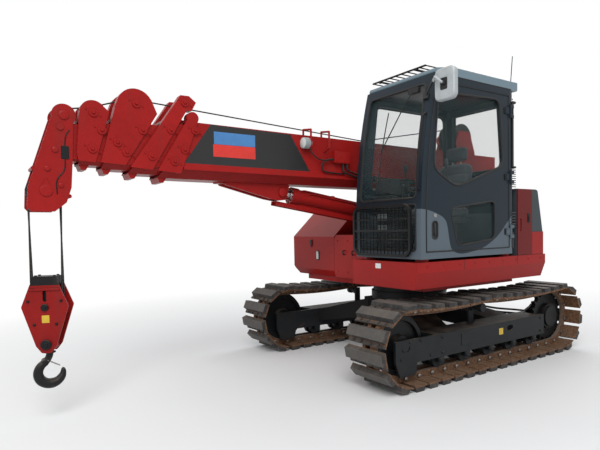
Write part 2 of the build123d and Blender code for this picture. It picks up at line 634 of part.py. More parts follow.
def upper_window():
    """Outline of the large window of the cab door."""
    top = CAB_EAVES - 145
    return rounded(((525, CAB_FLOOR + 592), (front_x(CAB_FLOOR + 731) - 127, CAB_FLOOR + 731),
                    (front_x(top) - 88, top), (CAB_DOOR_REAR + 135, top + 40),
                    (CAB_DOOR_REAR + 85, CAB_FLOOR + 805)), 55)


def lower_window():
    """Outline of the small window low in the cab door."""
    rear = CAB_DOOR_REAR + 205
    return rounded(((515, CAB_FLOOR + 95), (605, CAB_FLOOR + 415), (rear, CAB_FLOOR + 485),
                    (rear, CAB_FLOOR + 145)), 42)


def side_window(margin):
    """Outline of the fixed window beside the boom."""
    low, high = CAB_FLOOR + 605, CAB_EAVES - 105
    points = ((CAB_REAR + 80, low), (front_x(low) - 130, low), (front_x(high) - 115, high),
              (CAB_REAR + 80, high))
    return offset(rounded(points, 50), -margin) if margin else rounded(points, 50)


def cab_frame():
    """Cab shell with its window and door openings and the fixed hinge lugs."""
    y0, y1 = CAB_RIGHT + PILLAR, HOUSE_SIDE - PILLAR
    shell = cab_shape(0) - cab_shape(CAB_WALL)
    ahead = CAB_FRONT - 250
    shell -= block(ahead, CAB_FRONT + 1, y0, y1, SCREEN_BAR[1], CAB_EAVES - HEADER)
    shell -= block(ahead, CAB_FRONT + 1, y0, y1, CAB_FLOOR + SILL, SCREEN_BAR[0])
    doorway = sketch(cab_profile(CAB_DOOR_INSET - DOOR_GAP, CAB_DOOR_REAR - DOOR_GAP))
    shell -= side_plate(doorway, HOUSE_SIDE - CAB_WALL - 1, HOUSE_SIDE + 1)
    shell -= side_plate(side_window(0), CAB_RIGHT - 1, CAB_RIGHT + CAB_WALL + 1)
    shell -= block(CAB_REAR - 1, QUARTER_FRONT, CAB_RIGHT + 90, HOUSE_SIDE + 1, *REAR_WINDOW)
    foot_x, foot_y, foot_z = CAB_REAR - 75, HOUSE_SIDE - 125, CAB_EAVES - 45
    shell += block(foot_x - 15, CAB_REAR + LAP, foot_y - 20, foot_y + 20, foot_z, foot_z + 12)
    shell += disc_z(13, foot_x, foot_y, foot_z, foot_z + 95)
    shell += bar((foot_x, foot_y, foot_z + 90), (foot_x - 38, foot_y, foot_z + 420), 4)
    for z in HINGE_HEIGHTS:
        for low in (z - 2 * HINGE_HALF, z + HINGE_HALF + SEAT):
            high = low + HINGE_HALF - SEAT
            shell += disc_z(HINGE_R, HINGE_X, HINGE_Y, low, high)
            shell += block(HINGE_X - HINGE_LEAF, HINGE_X, HOUSE_SIDE - LAP, HINGE_Y, low, high)
    return shell


def cab_door():
    """Cab door with its two windows cut."""
    outline = sketch(cab_profile(CAB_DOOR_INSET, CAB_DOOR_REAR))
    leaf = side_plate(outline, HOUSE_SIDE - LEAF, HOUSE_SIDE)
    for window in (upper_window(), lower_window()):
        leaf -= side_plate(window, HOUSE_SIDE - LEAF - 1, HOUSE_SIDE + 1)
    for z in HINGE_HEIGHTS:
        low, high = z - HINGE_HALF, z + HINGE_HALF
        leaf += disc_z(HINGE_R, HINGE_X, HINGE_Y, low, high)
        leaf += block(HINGE_X, CAB_DOOR_REAR + HINGE_LEAF, HOUSE_SIDE + SEAT, HINGE_Y - LAP,
                      low, high)
        leaf += block(CAB_DOOR_REAR + 5, CAB_DOOR_REAR + HINGE_LEAF, HOUSE_SIDE - LAP,
                      HINGE_Y - LAP, low, high)
    recess = Pos(790, CAB_FLOOR + 235) * SlotOverall(150, 70, rotation=90)
    return leaf - side_plate(recess, HOUSE_SIDE - 14, HOUSE_SIDE + 1)


def pane(window, y0):
    """A flat pane that fills an opening in a side wall."""
    return side_plate(offset(window, -SEAT), y0, y0 + GLASS)


def windscreen(low, high):
    """Part of the curved front glass between two heights."""
    sheet = sketch(cab_profile(GLASS_INSET)) - sketch(cab_profile(GLASS_INSET + GLASS))
    solid = side_plate(sheet, CAB_RIGHT + PILLAR + SEAT, HOUSE_SIDE - PILLAR - SEAT)
    return solid & block(CAB_FRONT - 300, CAB_FRONT, CAB_RIGHT, HOUSE_SIDE, low + SEAT, high - SEAT)


def cab_rear_glass():
    """Rear pane that bends round the left rear corner."""
    low, high = REAR_WINDOW
    shell = cab_shape(GLASS_INSET) - cab_shape(GLASS_INSET + GLASS)
    return shell & block(CAB_REAR, QUARTER_FRONT - SEAT, CAB_RIGHT + 90 + SEAT, HOUSE_SIDE,
                         low + SEAT, high - SEAT)


def cab_roof():
    """Moulded roof cap: falling to the front and crowned across."""
    low = CAB_EAVES + SEAT
    top = CAB_EAVES + ROOF_RISE
    side = rounded(((CAB_REAR - 15, low), (CAB_REAR - 15, top - 20), (40, top),
                    (330, top - 55), (front_x(CAB_EAVES) - 30, low + 45),
                    (front_x(CAB_EAVES) - 5, low)), 18)
    shoulder = 95.0
    y0, y1 = CAB_RIGHT + 5, HOUSE_SIDE - 5
    across = make_face([
        Polyline((y0, top - shoulder), (y0, low), (y1, low), (y1, top - shoulder)),
        ThreePointArc((y1, top - shoulder), ((y0 + y1) / 2, top), (y0, top - shoulder))])
    return side_plate(side, y0, y1) & front_plate(sketch(across), CAB_REAR - 20, CAB_FRONT)


pieces["cab_frame"] = cab_frame()
pieces["cab_roof"] = cab_roof()
pieces["cab_door"] = cab_door()
pieces["door_glass_upper"] = pane(upper_window(), HOUSE_SIDE - GLASS_INSET - GLASS)
pieces["door_glass_lower"] = pane(lower_window(), HOUSE_SIDE - GLASS_INSET - GLASS)
pieces["windscreen_upper"] = windscreen(SCREEN_BAR[1], CAB_EAVES - HEADER)
pieces["windscreen_lower"] = windscreen(CAB_FLOOR + SILL, SCREEN_BAR[0])
pieces["cab_side_glass"] = pane(side_window(0), CAB_RIGHT + GLASS_INSET)
pieces["cab_rear_glass"] = cab_rear_glass()


# ---------------------------------------------------------------- cab fittings
GUARD_X = 985.0
GUARD_LOW = CAB_FLOOR + 15.0
GUARD_HIGH = SCREEN_BAR[0] + 10.0
GUARD_TUBE = 12.0
GUARD_RODS = 15
VISOR_Z = CAB_EAVES + 95.0
VISOR_X = (560.0, 750.0)
VISOR_Y = (335.0, 1000.0)
VISOR_RODS = 10


def seat():
    """Operator's seat: sliding base, cushion, backrest, headrest and armrests."""
    floor = CAB_FLOOR + CAB_WALL + SEAT
    y0, y1 = 480.0, 920.0
    base = block(90, 430, y0 + 40, y1 - 40, floor, CAB_FLOOR + 345)
    cushion = rounded(((40, CAB_FLOOR + 335), (530, CAB_FLOOR + 350), (535, CAB_FLOOR + 455),
                       (40, CAB_FLOOR + 435)), 40)
    back = rounded(((45, CAB_FLOOR + 380), (150, CAB_FLOOR + 380), (75, CAB_FLOOR + 900),
                    (-25, CAB_FLOOR + 900)), 38)
    head = rounded(((-30, CAB_FLOOR + 870), (62, CAB_FLOOR + 870), (35, CAB_FLOOR + 1035),
                    (-42, CAB_FLOOR + 1035)), 32)
    chair = base + side_plate(cushion, y0, y1) + side_plate(back, y0 + 10, y1 - 10)
    chair += side_plate(head, y0 + 90, y1 - 90)
    arm = rounded(((80, CAB_FLOOR + 610), (400, CAB_FLOOR + 610), (400, CAB_FLOOR + 650),
                   (60, CAB_FLOOR + 650)), 14)
    for y in (y0 - 58, y1 + 3):
        chair += side_plate(arm, y, y + 55)
    return chair + disc_y(16, 95, CAB_FLOOR + 630, y0 - LAP - 3, y1 + LAP + 3)


def console():
    """Control console at the front right of the cab, with its screen and levers."""
    floor = CAB_FLOOR + CAB_WALL + SEAT
    column = rounded(((560, floor), (770, floor), (740, CAB_FLOOR + 440),
                      (560, CAB_FLOOR + 440)), 20)
    desk = rounded(((540, CAB_FLOOR + 425), (800, CAB_FLOOR + 425), (785, CAB_FLOOR + 560),
                    (600, CAB_FLOOR + 500)), 18)
    stand = side_plate(column, 370, 520) + side_plate(desk, 365, 620)
    screen = rounded(((650, CAB_FLOOR + 560), (800, CAB_FLOOR + 560), (780, CAB_FLOOR + 700),
                      (690, CAB_FLOOR + 700)), 12)
    stand += side_plate(screen, 400, 600) + block(710, 740, 480, 520, CAB_FLOOR + 500,
                                                  CAB_FLOOR + 565)
    for y in (440, 540):
        stand += bar((600, y, CAB_FLOOR + 480), (575, y, CAB_FLOOR + 640), 9)
        stand += Pos(575, y, CAB_FLOOR + 640) * Sphere(19)
    return stand


def screen_guard():
    """Grille in front of the lower windscreen: a flat frame with upright and cross rods."""
    y0, y1 = CAB_RIGHT + 8, HOUSE_SIDE - 78
    x0, x1 = GUARD_X - GUARD_TUBE, GUARD_X + GUARD_TUBE
    middle = (GUARD_LOW + GUARD_HIGH) / 2
    width, height = y1 - y0, GUARD_HIGH - GUARD_LOW
    ring = RectangleRounded(width, height, 90)
    ring -= RectangleRounded(width - 4 * GUARD_TUBE, height - 4 * GUARD_TUBE, 90 - 2 * GUARD_TUBE)
    guard = front_plate(Pos((y0 + y1) / 2, middle) * ring, x0, x1)
    inner_y, inner_z = y0 + GUARD_TUBE, GUARD_LOW + GUARD_TUBE
    guard += block(x0 + 4, x1 - 4, inner_y, y1 - GUARD_TUBE, middle - 9, middle + 9)
    pitch = (y1 - y0) / (GUARD_RODS + 1)
    for index in range(1, GUARD_RODS + 1):
        y = y0 + index * pitch
        low = inner_z if 1 < index < GUARD_RODS else inner_z + 25
        high = GUARD_HIGH - (low - GUARD_LOW)
        guard += block(GUARD_X - 3, GUARD_X + 3, y - 2.5, y + 2.5, low, high)
    for y in (y0 + 90, y1 - 90):
        for z in (middle, GUARD_LOW + GUARD_TUBE):
            guard += block(front_x(z + 6) + SEAT, GUARD_X, y - 15, y + 15, z - 6, z + 6)
    return guard


def roof_visor():
    """Rack of round rods over the front of the roof, on two feet."""
    x0, x1 = VISOR_X
    y0, y1 = VISOR_Y
    z = VISOR_Z
    rack = bar((x0, y0, z), (x0, y1, z), 8) + bar((x1, y0, z), (x1, y1, z), 8)
    pitch = (y1 - y0) / (VISOR_RODS - 1)
    for index in range(VISOR_RODS):
        y = y0 + index * pitch
        rack += bar((x0, y, z), (x1, y, z), 5)
    for y in (y0 + 1.5 * pitch, y1 - 1.5 * pitch):
        rack += block(x0 - 6, x1, y - 9, y + 9, z - 14, z - 4)
        rack += block(x0 + 20, x0 + 45, y - 9, y + 9, CAB_EAVES + 84, z - 10)
    return rack


def mirror_left():
    """Left mirror: a rounded housing on a bent tube arm from the cab's front pillar."""
    middle_y, middle_z = 1325.0, CAB_EAVES - 150
    x = 872.0
    shell = Pos(middle_y, middle_z) * RectangleRounded(200, 245, 45)
    housing = front_plate(shell, x - 22, x + 22)
    housing = chamfer(housing.faces().sort_by(Axis.X)[-1].edges(), 10)
    foot_z = CAB_EAVES - 190
    foot_x = front_x(foot_z)
    foot = side_plate(((front_x(foot_z - 22) + SEAT, foot_z - 22), (foot_x + 30, foot_z - 22),
                       (foot_x + 24, foot_z + 22), (front_x(foot_z + 22) + SEAT, foot_z + 22)),
                      HOUSE_SIDE - 52, HOUSE_SIDE - 8)
    arm = tube_run(((foot_x + 14, HOUSE_SIDE - 30, foot_z), (x + 52, middle_y - 60, middle_z + 60),
                    (x + 52, middle_y, middle_z + 10), (x + 15, middle_y, middle_z)), 10)
    return housing + foot + arm


pieces["seat"] = seat()
pieces["console"] = console()
pieces["screen_guard"] = screen_guard()
pieces["roof_visor"] = roof_visor()
pieces["mirror_left"] = mirror_left()


# ---------------------------------------------------------------- boom
# Boom pieces are drawn lying level, with s along the boom from the foot pin and t above
# its centre line, and then set at the boom's angle on the foot pin.
BOOM_PLACE = Pos(FOOT_X, 0, FOOT_Z) * Rot(0, -BOOM_ANGLE, 0)
COLLAR_PLATE = 14.0
BOSS_R = 30.0
BOSS_RISE = 9.0
WEDGE_DROP = 34.0
LAMP_PLACE = (2600.0, 140.0)  # work lamp beside the base section: s, t

# Side view of each collar plate, (s, t) round the outline.
COLLARS = {
    1: ((3582, 222), (3597, 266), (3628, 292), (3896, -171), (3723, -183)),
    2: ((3929, -165), (3662, 300), (3622, 302), (3586, 370), (3641, 413), (3708, 412),
        (3739, 363), (4085, -155)),
    3: ((4115, -141), (3880, 252), (3922, 352), (4146, 352), (4172, 288), (4281, -131)),
    4: ((4310, -131), (4212, 231), (4246, 262), (4394, 240), (4408, 202), (4430, -72),
        (4420, -126)),
}
# Round ear on top of a collar: centre s, centre t, radius.
EARS = {1: (3622.0, 245.0, 46.0), 3: (4035.0, 290.0, 127.0), 4: (4318.0, 214.0, 86.0)}
# Bosses over the slide-pad adjusters: s, t.
BOSSES = {
    1: ((3606, 150), (3771, -96), (3692, -2)),
    2: ((3788, 142), (3932, -66), (3676, 358)),
    3: ((3988, 122), (4106, -48), (4030, 310), (4167, 18)),
    4: ((4264, 97), (4330, -38), (4318, 214)),
}
TAILS = {1: -90.0, 2: 140.0, 3: 180.0, 4: 220.0, 5: 260.0}
# Where a section's box ends in front: at its bottom and at its top.
FRONTS = {1: (3880.0, 3628.0), 2: (4090.0, 3840.0), 3: (4270.0, 4200.0), 4: (4415.0, 4405.0),
          5: (4560.0, 4520.0)}


def half_size(section):
    """Half height and half width of a boom section, counted from 1."""
    step = (section - 1) * SECTION_STEP
    return BASE_HALF_H - step, BASE_HALF_W - step


def box_outline(section, inset=0.0):
    """Front view of a section's box: flat top and folded lower corners."""
    high, wide = (size - inset for size in half_size(section))
    depth = (section - 1) * SECTION_STEP + inset
    fold = LOWER_FOLD - depth * (2 - sqrt(2))
    return ((-wide, high), (wide, high), (wide, fold - high), (wide - fold, -high),
            (fold - wide, -high), (-wide, fold - high))


def boom_tube(section):
    """Box tube of one section, with its front end cut on the slant of the collar."""
    high, wide = half_size(section)
    bottom, top = FRONTS[section]
    tail_s = TAILS[section]
    tube = front_plate(box_outline(section), tail_s, bottom + 1)
    tube &= side_plate(((tail_s, -high), (bottom, -high), (top, high), (tail_s, high)),
                       -wide, wide)
    return tube - front_plate(box_outline(section, BOOM_WALL), tail_s - 1, bottom + 2)


def collar(section):
    """Stiffening collar round the front of a section, with bosses, ears and slide pads."""
    high, wide = half_size(section)
    inner = wide - BOOM_WALL
    outer = wide + COLLAR_PLATE
    plate = sketch(COLLARS[section])
    if section in EARS:
        s, t, radius = EARS[section]
        plate += Pos(s, t) * Circle(radius)
    ring = side_plate(plate, -outer, outer)
    ring -= block(3000, 5000, -inner, inner, -600, high - BOOM_WALL)
    ring -= block(3000, 5000, -inner + 50, inner - 50, high + 20, 600)
    for s, t in BOSSES[section]:
        for y0, y1 in ((outer - LAP, outer + BOSS_RISE), (-outer - BOSS_RISE, -outer + LAP)):
            ring += disc_y(BOSS_R, s, t, y0, y1)
    bottom_s = FRONTS[section][0]
    floor = -high + BOOM_WALL
    width = wide * 0.45
    ring += block(bottom_s - 150, bottom_s - 30, -width, width, floor - LAP,
                  floor + BOOM_GAP - RUN)
    wedge = ((bottom_s - 70, -high + LAP), (bottom_s - 5, -high + LAP),
             (bottom_s - 18, -high - WEDGE_DROP), (bottom_s - 48, -high - WEDGE_DROP))
    return ring + side_plate(wedge, -width - 20, width + 20)


def ear_sheave(section):
    """Fixed guide disc and its pin between the ears of a collar."""
    high, wide = half_size(section)
    s, t, radius = EARS[section]
    reach = wide - BOOM_WALL - 50 + LAP
    return disc_y(16, s, t, -reach, reach) + disc_y(radius * 0.6, s, t, -12, 12)


def wear_pads(section):
    """Slide pads at the tail of a section, that rest in the section outside it."""
    high, wide = half_size(section)
    reach = BOOM_GAP - RUN
    tail_s = TAILS[section]
    pads = Part()
    for t, share in ((high, 0.7), (-high, 0.45)):
        t0, t1 = sorted((t * 0.99, t + reach if t > 0 else t - reach))
        pads += block(tail_s, tail_s + 120, -wide * share, wide * share, t0, t1)
    return pads


def work_lamp(high, wide):
    """Lamp on the cab side of the base section, its two hoop guards and a valve box."""
    s, t = LAMP_PLACE
    face = wide + 62
    lamp = block(s - 40, s + 42, wide - 1, face, t - 12, t + 12)
    lamp += Pos(s + 8, wide + 42, t) * Rot(0, 90, 0) * Cylinder(46, 60)
    for start in (s - 20, s - 215):
        hoop = ((start, wide - 4, t - 60), (start, wide + 78, t - 30), (start, wide + 78, high + 40),
                (start + 10, wide - 30, high + 52), (start + 10, wide - 30, high - LAP))
        lamp += tube_run(hoop, 9)
    return lamp + block(s - 480, s - 300, wide - 1, wide + 46, t - 150, t - 40)


def boom_base():
    """First boom section with its foot and the gusset for the luffing cylinder."""
    high, wide = half_size(1)
    base = boom_tube(1) + collar(1)
    lap_top, lap_bottom = LOWER_FOLD + 62 - high, LOWER_FOLD - high
    for sign in (-1, 1):
        strip = ((sign * (wide - 1), lap_top), (sign * (wide + 12), lap_bottom + 4),
                 (sign * (wide + 12), lap_bottom), (sign * (wide - 1), lap_bottom))
        base += front_plate(strip, TAILS[1] + 350, 3700)
    tail_round = side_plate(((TAILS[1] - 1, -high - 1), (-20, -high - 1),
                             (TAILS[1] - 1, -60)), -wide - 1, wide + 1)
    base -= tail_round
    base += disc_y(FOOT_SLEEVE_R, 0, 0, -wide + 1, wide - 1)
    base -= disc_y(FOOT_PIN_R + RUN, 0, 0, -wide - 1, wide + 1)
    base += work_lamp(high, wide)
    ear_y = EYE_HALF + GLIDE
    s, t = ROD_PIN_S, ROD_PIN_T
    ear = ((s + 648, -high + LAP), (s + 128, t - 55), (s + 30, t - 70), (s - 36, t - 62),
           (s - 75, -high + LAP))
    for y0, y1 in ((-ear_y - EAR, -ear_y), (ear_y, ear_y + EAR)):
        base += side_plate(rounded(ear, 14), y0, y1)
    closing = ((s + 600, -high - 12), (s + 600, -high + LAP), (s + 200, -high + LAP),
               (s + 200, -high - 20), (s + 330, -high - 20))
    base += side_plate(closing, -ear_y - LAP, ear_y + LAP)
    for y0, y1 in ((-ear_y - EAR - 14, -ear_y - EAR + LAP), (ear_y + EAR - LAP, ear_y + EAR + 14)):
        base += disc_y(CYL_PIN_R + 4, s, t, y0, y1)
    return base


def boom_section(section):
    """One sliding boom section with its collar and wear pads."""
    body = boom_tube(section) + collar(section) + wear_pads(section)
    return body + ear_sheave(section) if section in EARS else body


# Head plate: outline of (s, t) points below its round top.
HEAD_OUTLINE = ((4440, 200), (4424, 190), (4578, 160), (4730, -321), (4736, -452),
                (4714, -479), (4572, -479), (4498, -416), (4465, -312), (4455, -153))
HEAD_PLATE = 12.0
HEAD_TOP_R = 76.0


def boom_head():
    """Fifth section with the head plates that carry the sheaves."""
    high, wide = half_size(5)
    head = boom_tube(5) + wear_pads(5)
    nose_s, nose_t = NOSE_PIN
    plate = sketch(HEAD_OUTLINE) + Pos(nose_s, nose_t) * Circle(HEAD_TOP_R)
    outer = wide + HEAD_PLATE
    for y in (-outer, wide):
        head += side_plate(plate, y, y + HEAD_PLATE)
    head -= disc_y(NOSE_SHEAVE_R + SHEAVE_RIM + GLIDE, nose_s, nose_t, -40, 40)
    for s, t in (HEAD_PIN, NOSE_PIN):
        head += disc_y(HEAD_PIN_R, s, t, -outer - 2, outer + 2)
    for s, t in ((4692, -190), (4478, -372)):
        head += disc_y(14, s, t, -wide - LAP, wide + LAP)
    drop = Pos(*HEAD_PIN) * (Circle(34) + Polygon((-30, 16), (30, 16), (0, 82)))
    for y0, y1 in ((outer - LAP, outer + 8), (-outer - 8, -outer + LAP)):
        head += side_plate(drop, y0, y1)
        head += disc_y(24, 4526, 99, y0, y1)
    return head


def sheave(radius, y):
    """One grooved rope sheave about the origin, centred at y."""
    half = GROOVE_HALF + SHEAVE_CHEEK
    rim = radius + SHEAVE_RIM
    seat_r = radius - ROPE_R
    profile = ((0, -half), (rim, -half), (rim, -GROOVE_HALF), (seat_r, -GROOVE_HALF),
               (seat_r, GROOVE_HALF), (rim, GROOVE_HALF), (rim, half), (0, half))
    return Pos(0, y, 0) * Rot(90, 0, 0) * revolve(Plane.XZ * Polygon(*profile), Axis.Z)


def sheave_pair(radius, y, hub_r, pin_r):
    """Two sheaves on one hub, bored for their pin."""
    pair = sheave(radius, -y) + sheave(radius, y)
    reach = y + GROOVE_HALF + SHEAVE_CHEEK + 3
    return pair + disc_y(hub_r, 0, 0, -reach, reach) - disc_y(pin_r + RUN, 0, 0, -100, 100)


def nose_sheave():
    """Single sheave that leads the rope over the boom head."""
    wheel = sheave(NOSE_SHEAVE_R, 0) + disc_y(36, 0, 0, -25, 25)
    return Pos(NOSE_PIN[0], 0, NOSE_PIN[1]) * (wheel - disc_y(HEAD_PIN_R + RUN, 0, 0, -100, 100))


pieces["boom_base"] = BOOM_PLACE * boom_base()
for number in (2, 3, 4):
    pieces[f"boom_section_{number}"] = BOOM_PLACE * boom_section(number)
pieces["boom_head"] = BOOM_PLACE * boom_head()
pieces["head_sheaves"] = BOOM_PLACE * Pos(HEAD_PIN[0], 0, HEAD_PIN[1]) * sheave_pair(
    SHEAVE_R, FALL_Y, 45, HEAD_PIN_R)
pieces["nose_sheave"] = BOOM_PLACE * nose_sheave()


# ---------------------------------------------------------------- luffing cylinder
foot_point = Vector(CYL_FOOT_X, 0, CYL_FOOT_Z)
rod_point = (BOOM_PLACE * Pos(ROD_PIN_S, 0, ROD_PIN_T)).position
CYL_LENGTH = (rod_point - foot_point).length
CYL_ANGLE = degrees(atan2(rod_point.Z - foot_point.Z, rod_point.X - foot_point.X))
CYL_PLACE = Pos(CYL_FOOT_X, 0, CYL_FOOT_Z) * Rot(0, 90 - CYL_ANGLE, 0)
ROD_TAIL = 900.0      # how far up the barrel the rod's piston end lies
SLEEVE_FROM = 1500.0  # where the hose guard under the barrel starts


def luff_barrel():
    """Barrel of the luffing cylinder, drawn standing on its foot eye."""
    top = CYL_LENGTH - EYE_R - 60
    start = CYL_PIN_R + LUG_RISE + GLIDE
    barrel = disc_z(CYL_R, 0, 0, start, top) + disc_z(CYL_R + 8, 0, 0, top - 70, top)
    barrel += disc_z(EYE_HALF - LAP, 0, 0, CYL_PIN_R + LAP, start + LAP)
    barrel -= disc_z(CYL_ROD_R + RUN, 0, 0, ROD_TAIL - 5, top + 1)
    barrel += disc_y(CYL_PIN_R + 35, 0, 0, -EYE_HALF, EYE_HALF)
    barrel -= disc_y(CYL_PIN_R + RUN, 0, 0, -200, 200)
    near = CYL_R + 10
    channel = block(near, near + 36, -44, 44, SLEEVE_FROM, CYL_LENGTH + 40)
    channel -= block(near + SHEET, near + 37, -44 + SHEET, 44 - SHEET, SLEEVE_FROM - 1,
                     CYL_LENGTH + 41)
    bridge = block(CYL_R - 12, near + LAP, -30, 30, SLEEVE_FROM, top - 10)
    return barrel + channel + bridge


def luff_rod():
    """Rod with its eye and the inner part of the pin, which rides in the eye."""
    rod = disc_z(CYL_ROD_R, 0, 0, ROD_TAIL, CYL_LENGTH - EYE_R + 15)
    return rod + disc_y(EYE_R, 0, CYL_LENGTH, -EYE_HALF, EYE_HALF)


pieces["luff_barrel"] = CYL_PLACE * luff_barrel()
pieces["luff_rod"] = CYL_PLACE * luff_rod()


# ---------------------------------------------------------------- winch
def winch_drum():
    """Hoist drum with its two flanges and its wound rope's body."""
    rim = DRUM_R + DRUM_FLANGE
    profile = ((0, -DRUM_HALF), (rim, -DRUM_HALF), (rim, PLATE - DRUM_HALF),
               (DRUM_R, PLATE - DRUM_HALF), (DRUM_R, DRUM_HALF - PLATE),
               (rim, DRUM_HALF - PLATE), (rim, DRUM_HALF), (0, DRUM_HALF))
    drum = Rot(90, 0, 0) * revolve(Plane.XZ * Polygon(*profile), Axis.Z)
    place = Pos(WINCH_S, 0, half_size(1)[0] + WINCH_RISE)
    return place * (drum - disc_y(DRUM_SHAFT_R + RUN, 0, 0, -200, 200))


def winch_frame():
    """Two side plates and the shaft that carry the drum on the boom's back."""
    high, wide = half_size(1)
    low = high + SEAT
    outline = rounded(((WINCH_S - 190, low), (WINCH_S + 190, low), (WINCH_S + 90, high + 260),
                       (WINCH_S - 90, high + 260)), 25)
    inner = DRUM_HALF + 15
    frame = Part()
    for y in (-inner - 15, inner):
        frame += side_plate(outline, y, y + 15)
    frame += disc_y(DRUM_SHAFT_R, WINCH_S, high + WINCH_RISE, -inner - LAP, inner + LAP)
    frame += disc_y(70, WINCH_S, high + WINCH_RISE, -inner - 95, -inner - 13)
    return frame + block(WINCH_S - 150, WINCH_S + 150, -inner - LAP, inner + LAP, low, low + PLATE)


pieces["winch_frame"] = BOOM_PLACE * winch_frame()
pieces["winch_drum"] = BOOM_PLACE * winch_drum()


# ---------------------------------------------------------------- hook block
BLOCK_PLACE = Pos(BLOCK_X, 0, 0) * Rot(0, 0, BLOCK_TWIST)
CROSSHEAD = 35.0
# Sections of the hook's bowl: turn about the bowl's centre, radius there.
HOOK_SECTIONS = ((80, 25), (35, 30), (-20, 34), (-90, 36), (-140, 32), (-175, 22), (-200, 11))


def hook_block():
    """Two slotted cheek plates, the top bar and the hook's crosshead."""
    low = HOOK_PIN_Z - 59
    cheek = rounded(((-66, HOOK_PIN_Z - 10), (-30, low), (30, low), (66, HOOK_PIN_Z - 10),
                     (150, BLOCK_Z + 5), (88, BLOCK_Z + 165), (-88, BLOCK_Z + 165),
                     (-150, BLOCK_Z + 5)), 18)
    slot = Pos(0, BLOCK_Z + 78) * SlotOverall(80, 24, rotation=90)
    frame = Part()
    for y in (-BLOCK_HALF, BLOCK_HALF - PLATE):
        frame += side_plate(cheek - slot, y, y + PLATE)
    frame += disc_y(BLOCK_PIN_R, 0, BLOCK_Z, -BLOCK_HALF - 6, BLOCK_HALF + 6)
    inner = BLOCK_HALF - PLATE + LAP
    frame += block(-50, 50, -inner, inner, HOOK_PIN_Z - CROSSHEAD, HOOK_PIN_Z + CROSSHEAD)
    frame += disc_y(30, 0, HOOK_PIN_Z, -BLOCK_HALF - 10, BLOCK_HALF + 10)
    bar_half = SHEAVE_R - ROPE_R - 12
    frame += block(-bar_half, bar_half, -BLOCK_HALF + LAP, BLOCK_HALF - LAP, BLOCK_Z + 150,
                   BLOCK_Z + 212)
    return frame - disc_z(SHANK_R + RUN, 0, 0, HOOK_PIN_Z - 60, HOOK_PIN_Z + 60)


def hook():
    """Forged hook: shank, nut, and a bowl that thickens and then tapers to its tip."""
    shank = disc_z(SHANK_R, 0, 0, HOOK_BOWL_Z + 90, HOOK_PIN_Z + 40)
    nut_z = HOOK_PIN_Z + CROSSHEAD + SEAT
    shank += disc_z(38, 0, 0, nut_z, nut_z + 25)
    sections = []
    for turn, radius in HOOK_SECTIONS:
        angle = radians(turn)
        centre = (HOOK_R * cos(angle), 0, HOOK_BOWL_Z + HOOK_R * sin(angle))
        across = Plane(origin=centre, z_dir=(sin(angle), 0, -cos(angle)))
        sections.append(across * Circle(radius))
    bowl = loft(sections, ruled=True)
    root = radians(HOOK_SECTIONS[0][0])
    neck = bar((0, 0, HOOK_BOWL_Z + 125),
               (HOOK_R * cos(root), 0, HOOK_BOWL_Z + HOOK_R * sin(root) - 8), SHANK_R)
    return shank + bowl + neck


def rope_falls():
    """The four falls of rope between the boom head and the hook block."""
    falls = Part()
    head = (BOOM_PLACE * Pos(HEAD_PIN[0], 0, HEAD_PIN[1])).position
    turn = radians(BLOCK_TWIST)
    for along in (-1, 1):
        for across in (-1, 1):
            reach = along * (SHEAVE_R + 2 * RUN)
            low = (BLOCK_X + reach * cos(turn) - across * BLOCK_FALL_Y * sin(turn),
                   reach * sin(turn) + across * BLOCK_FALL_Y * cos(turn), BLOCK_Z + 2)
            high = (head.X + reach, across * FALL_Y, head.Z - 2)
            falls += bar(high, low, ROPE_R)
    return falls


pieces["hook_block"] = BLOCK_PLACE * hook_block()
pieces["block_sheaves"] = BLOCK_PLACE * Pos(0, 0, BLOCK_Z) * sheave_pair(
    SHEAVE_R, BLOCK_FALL_Y, 40, BLOCK_PIN_R)
pieces["hook"] = Pos(BLOCK_X, 0, 0) * hook()
pieces["rope_falls"] = rope_falls()

for name, shape in pieces.items():
    export_step(shape, f"parts/{name}.step")
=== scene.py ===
# %% [markdown]
# # Finishing a crawler crane
#
# The machine's solid parts come ready made and stay where they are. This lesson gives
# them their paint, rust, rubber and glass, and adds the small things that a maker bolts
# on last: window seals, wire mesh, hoses, bolts, lamps and labels. Lengths are metres,
# +X points forward, +Y to the left and +Z up.

# %% Load the solid parts
import math
import bmesh
import bpy
import numpy as np
from mathutils import Matrix, Vector


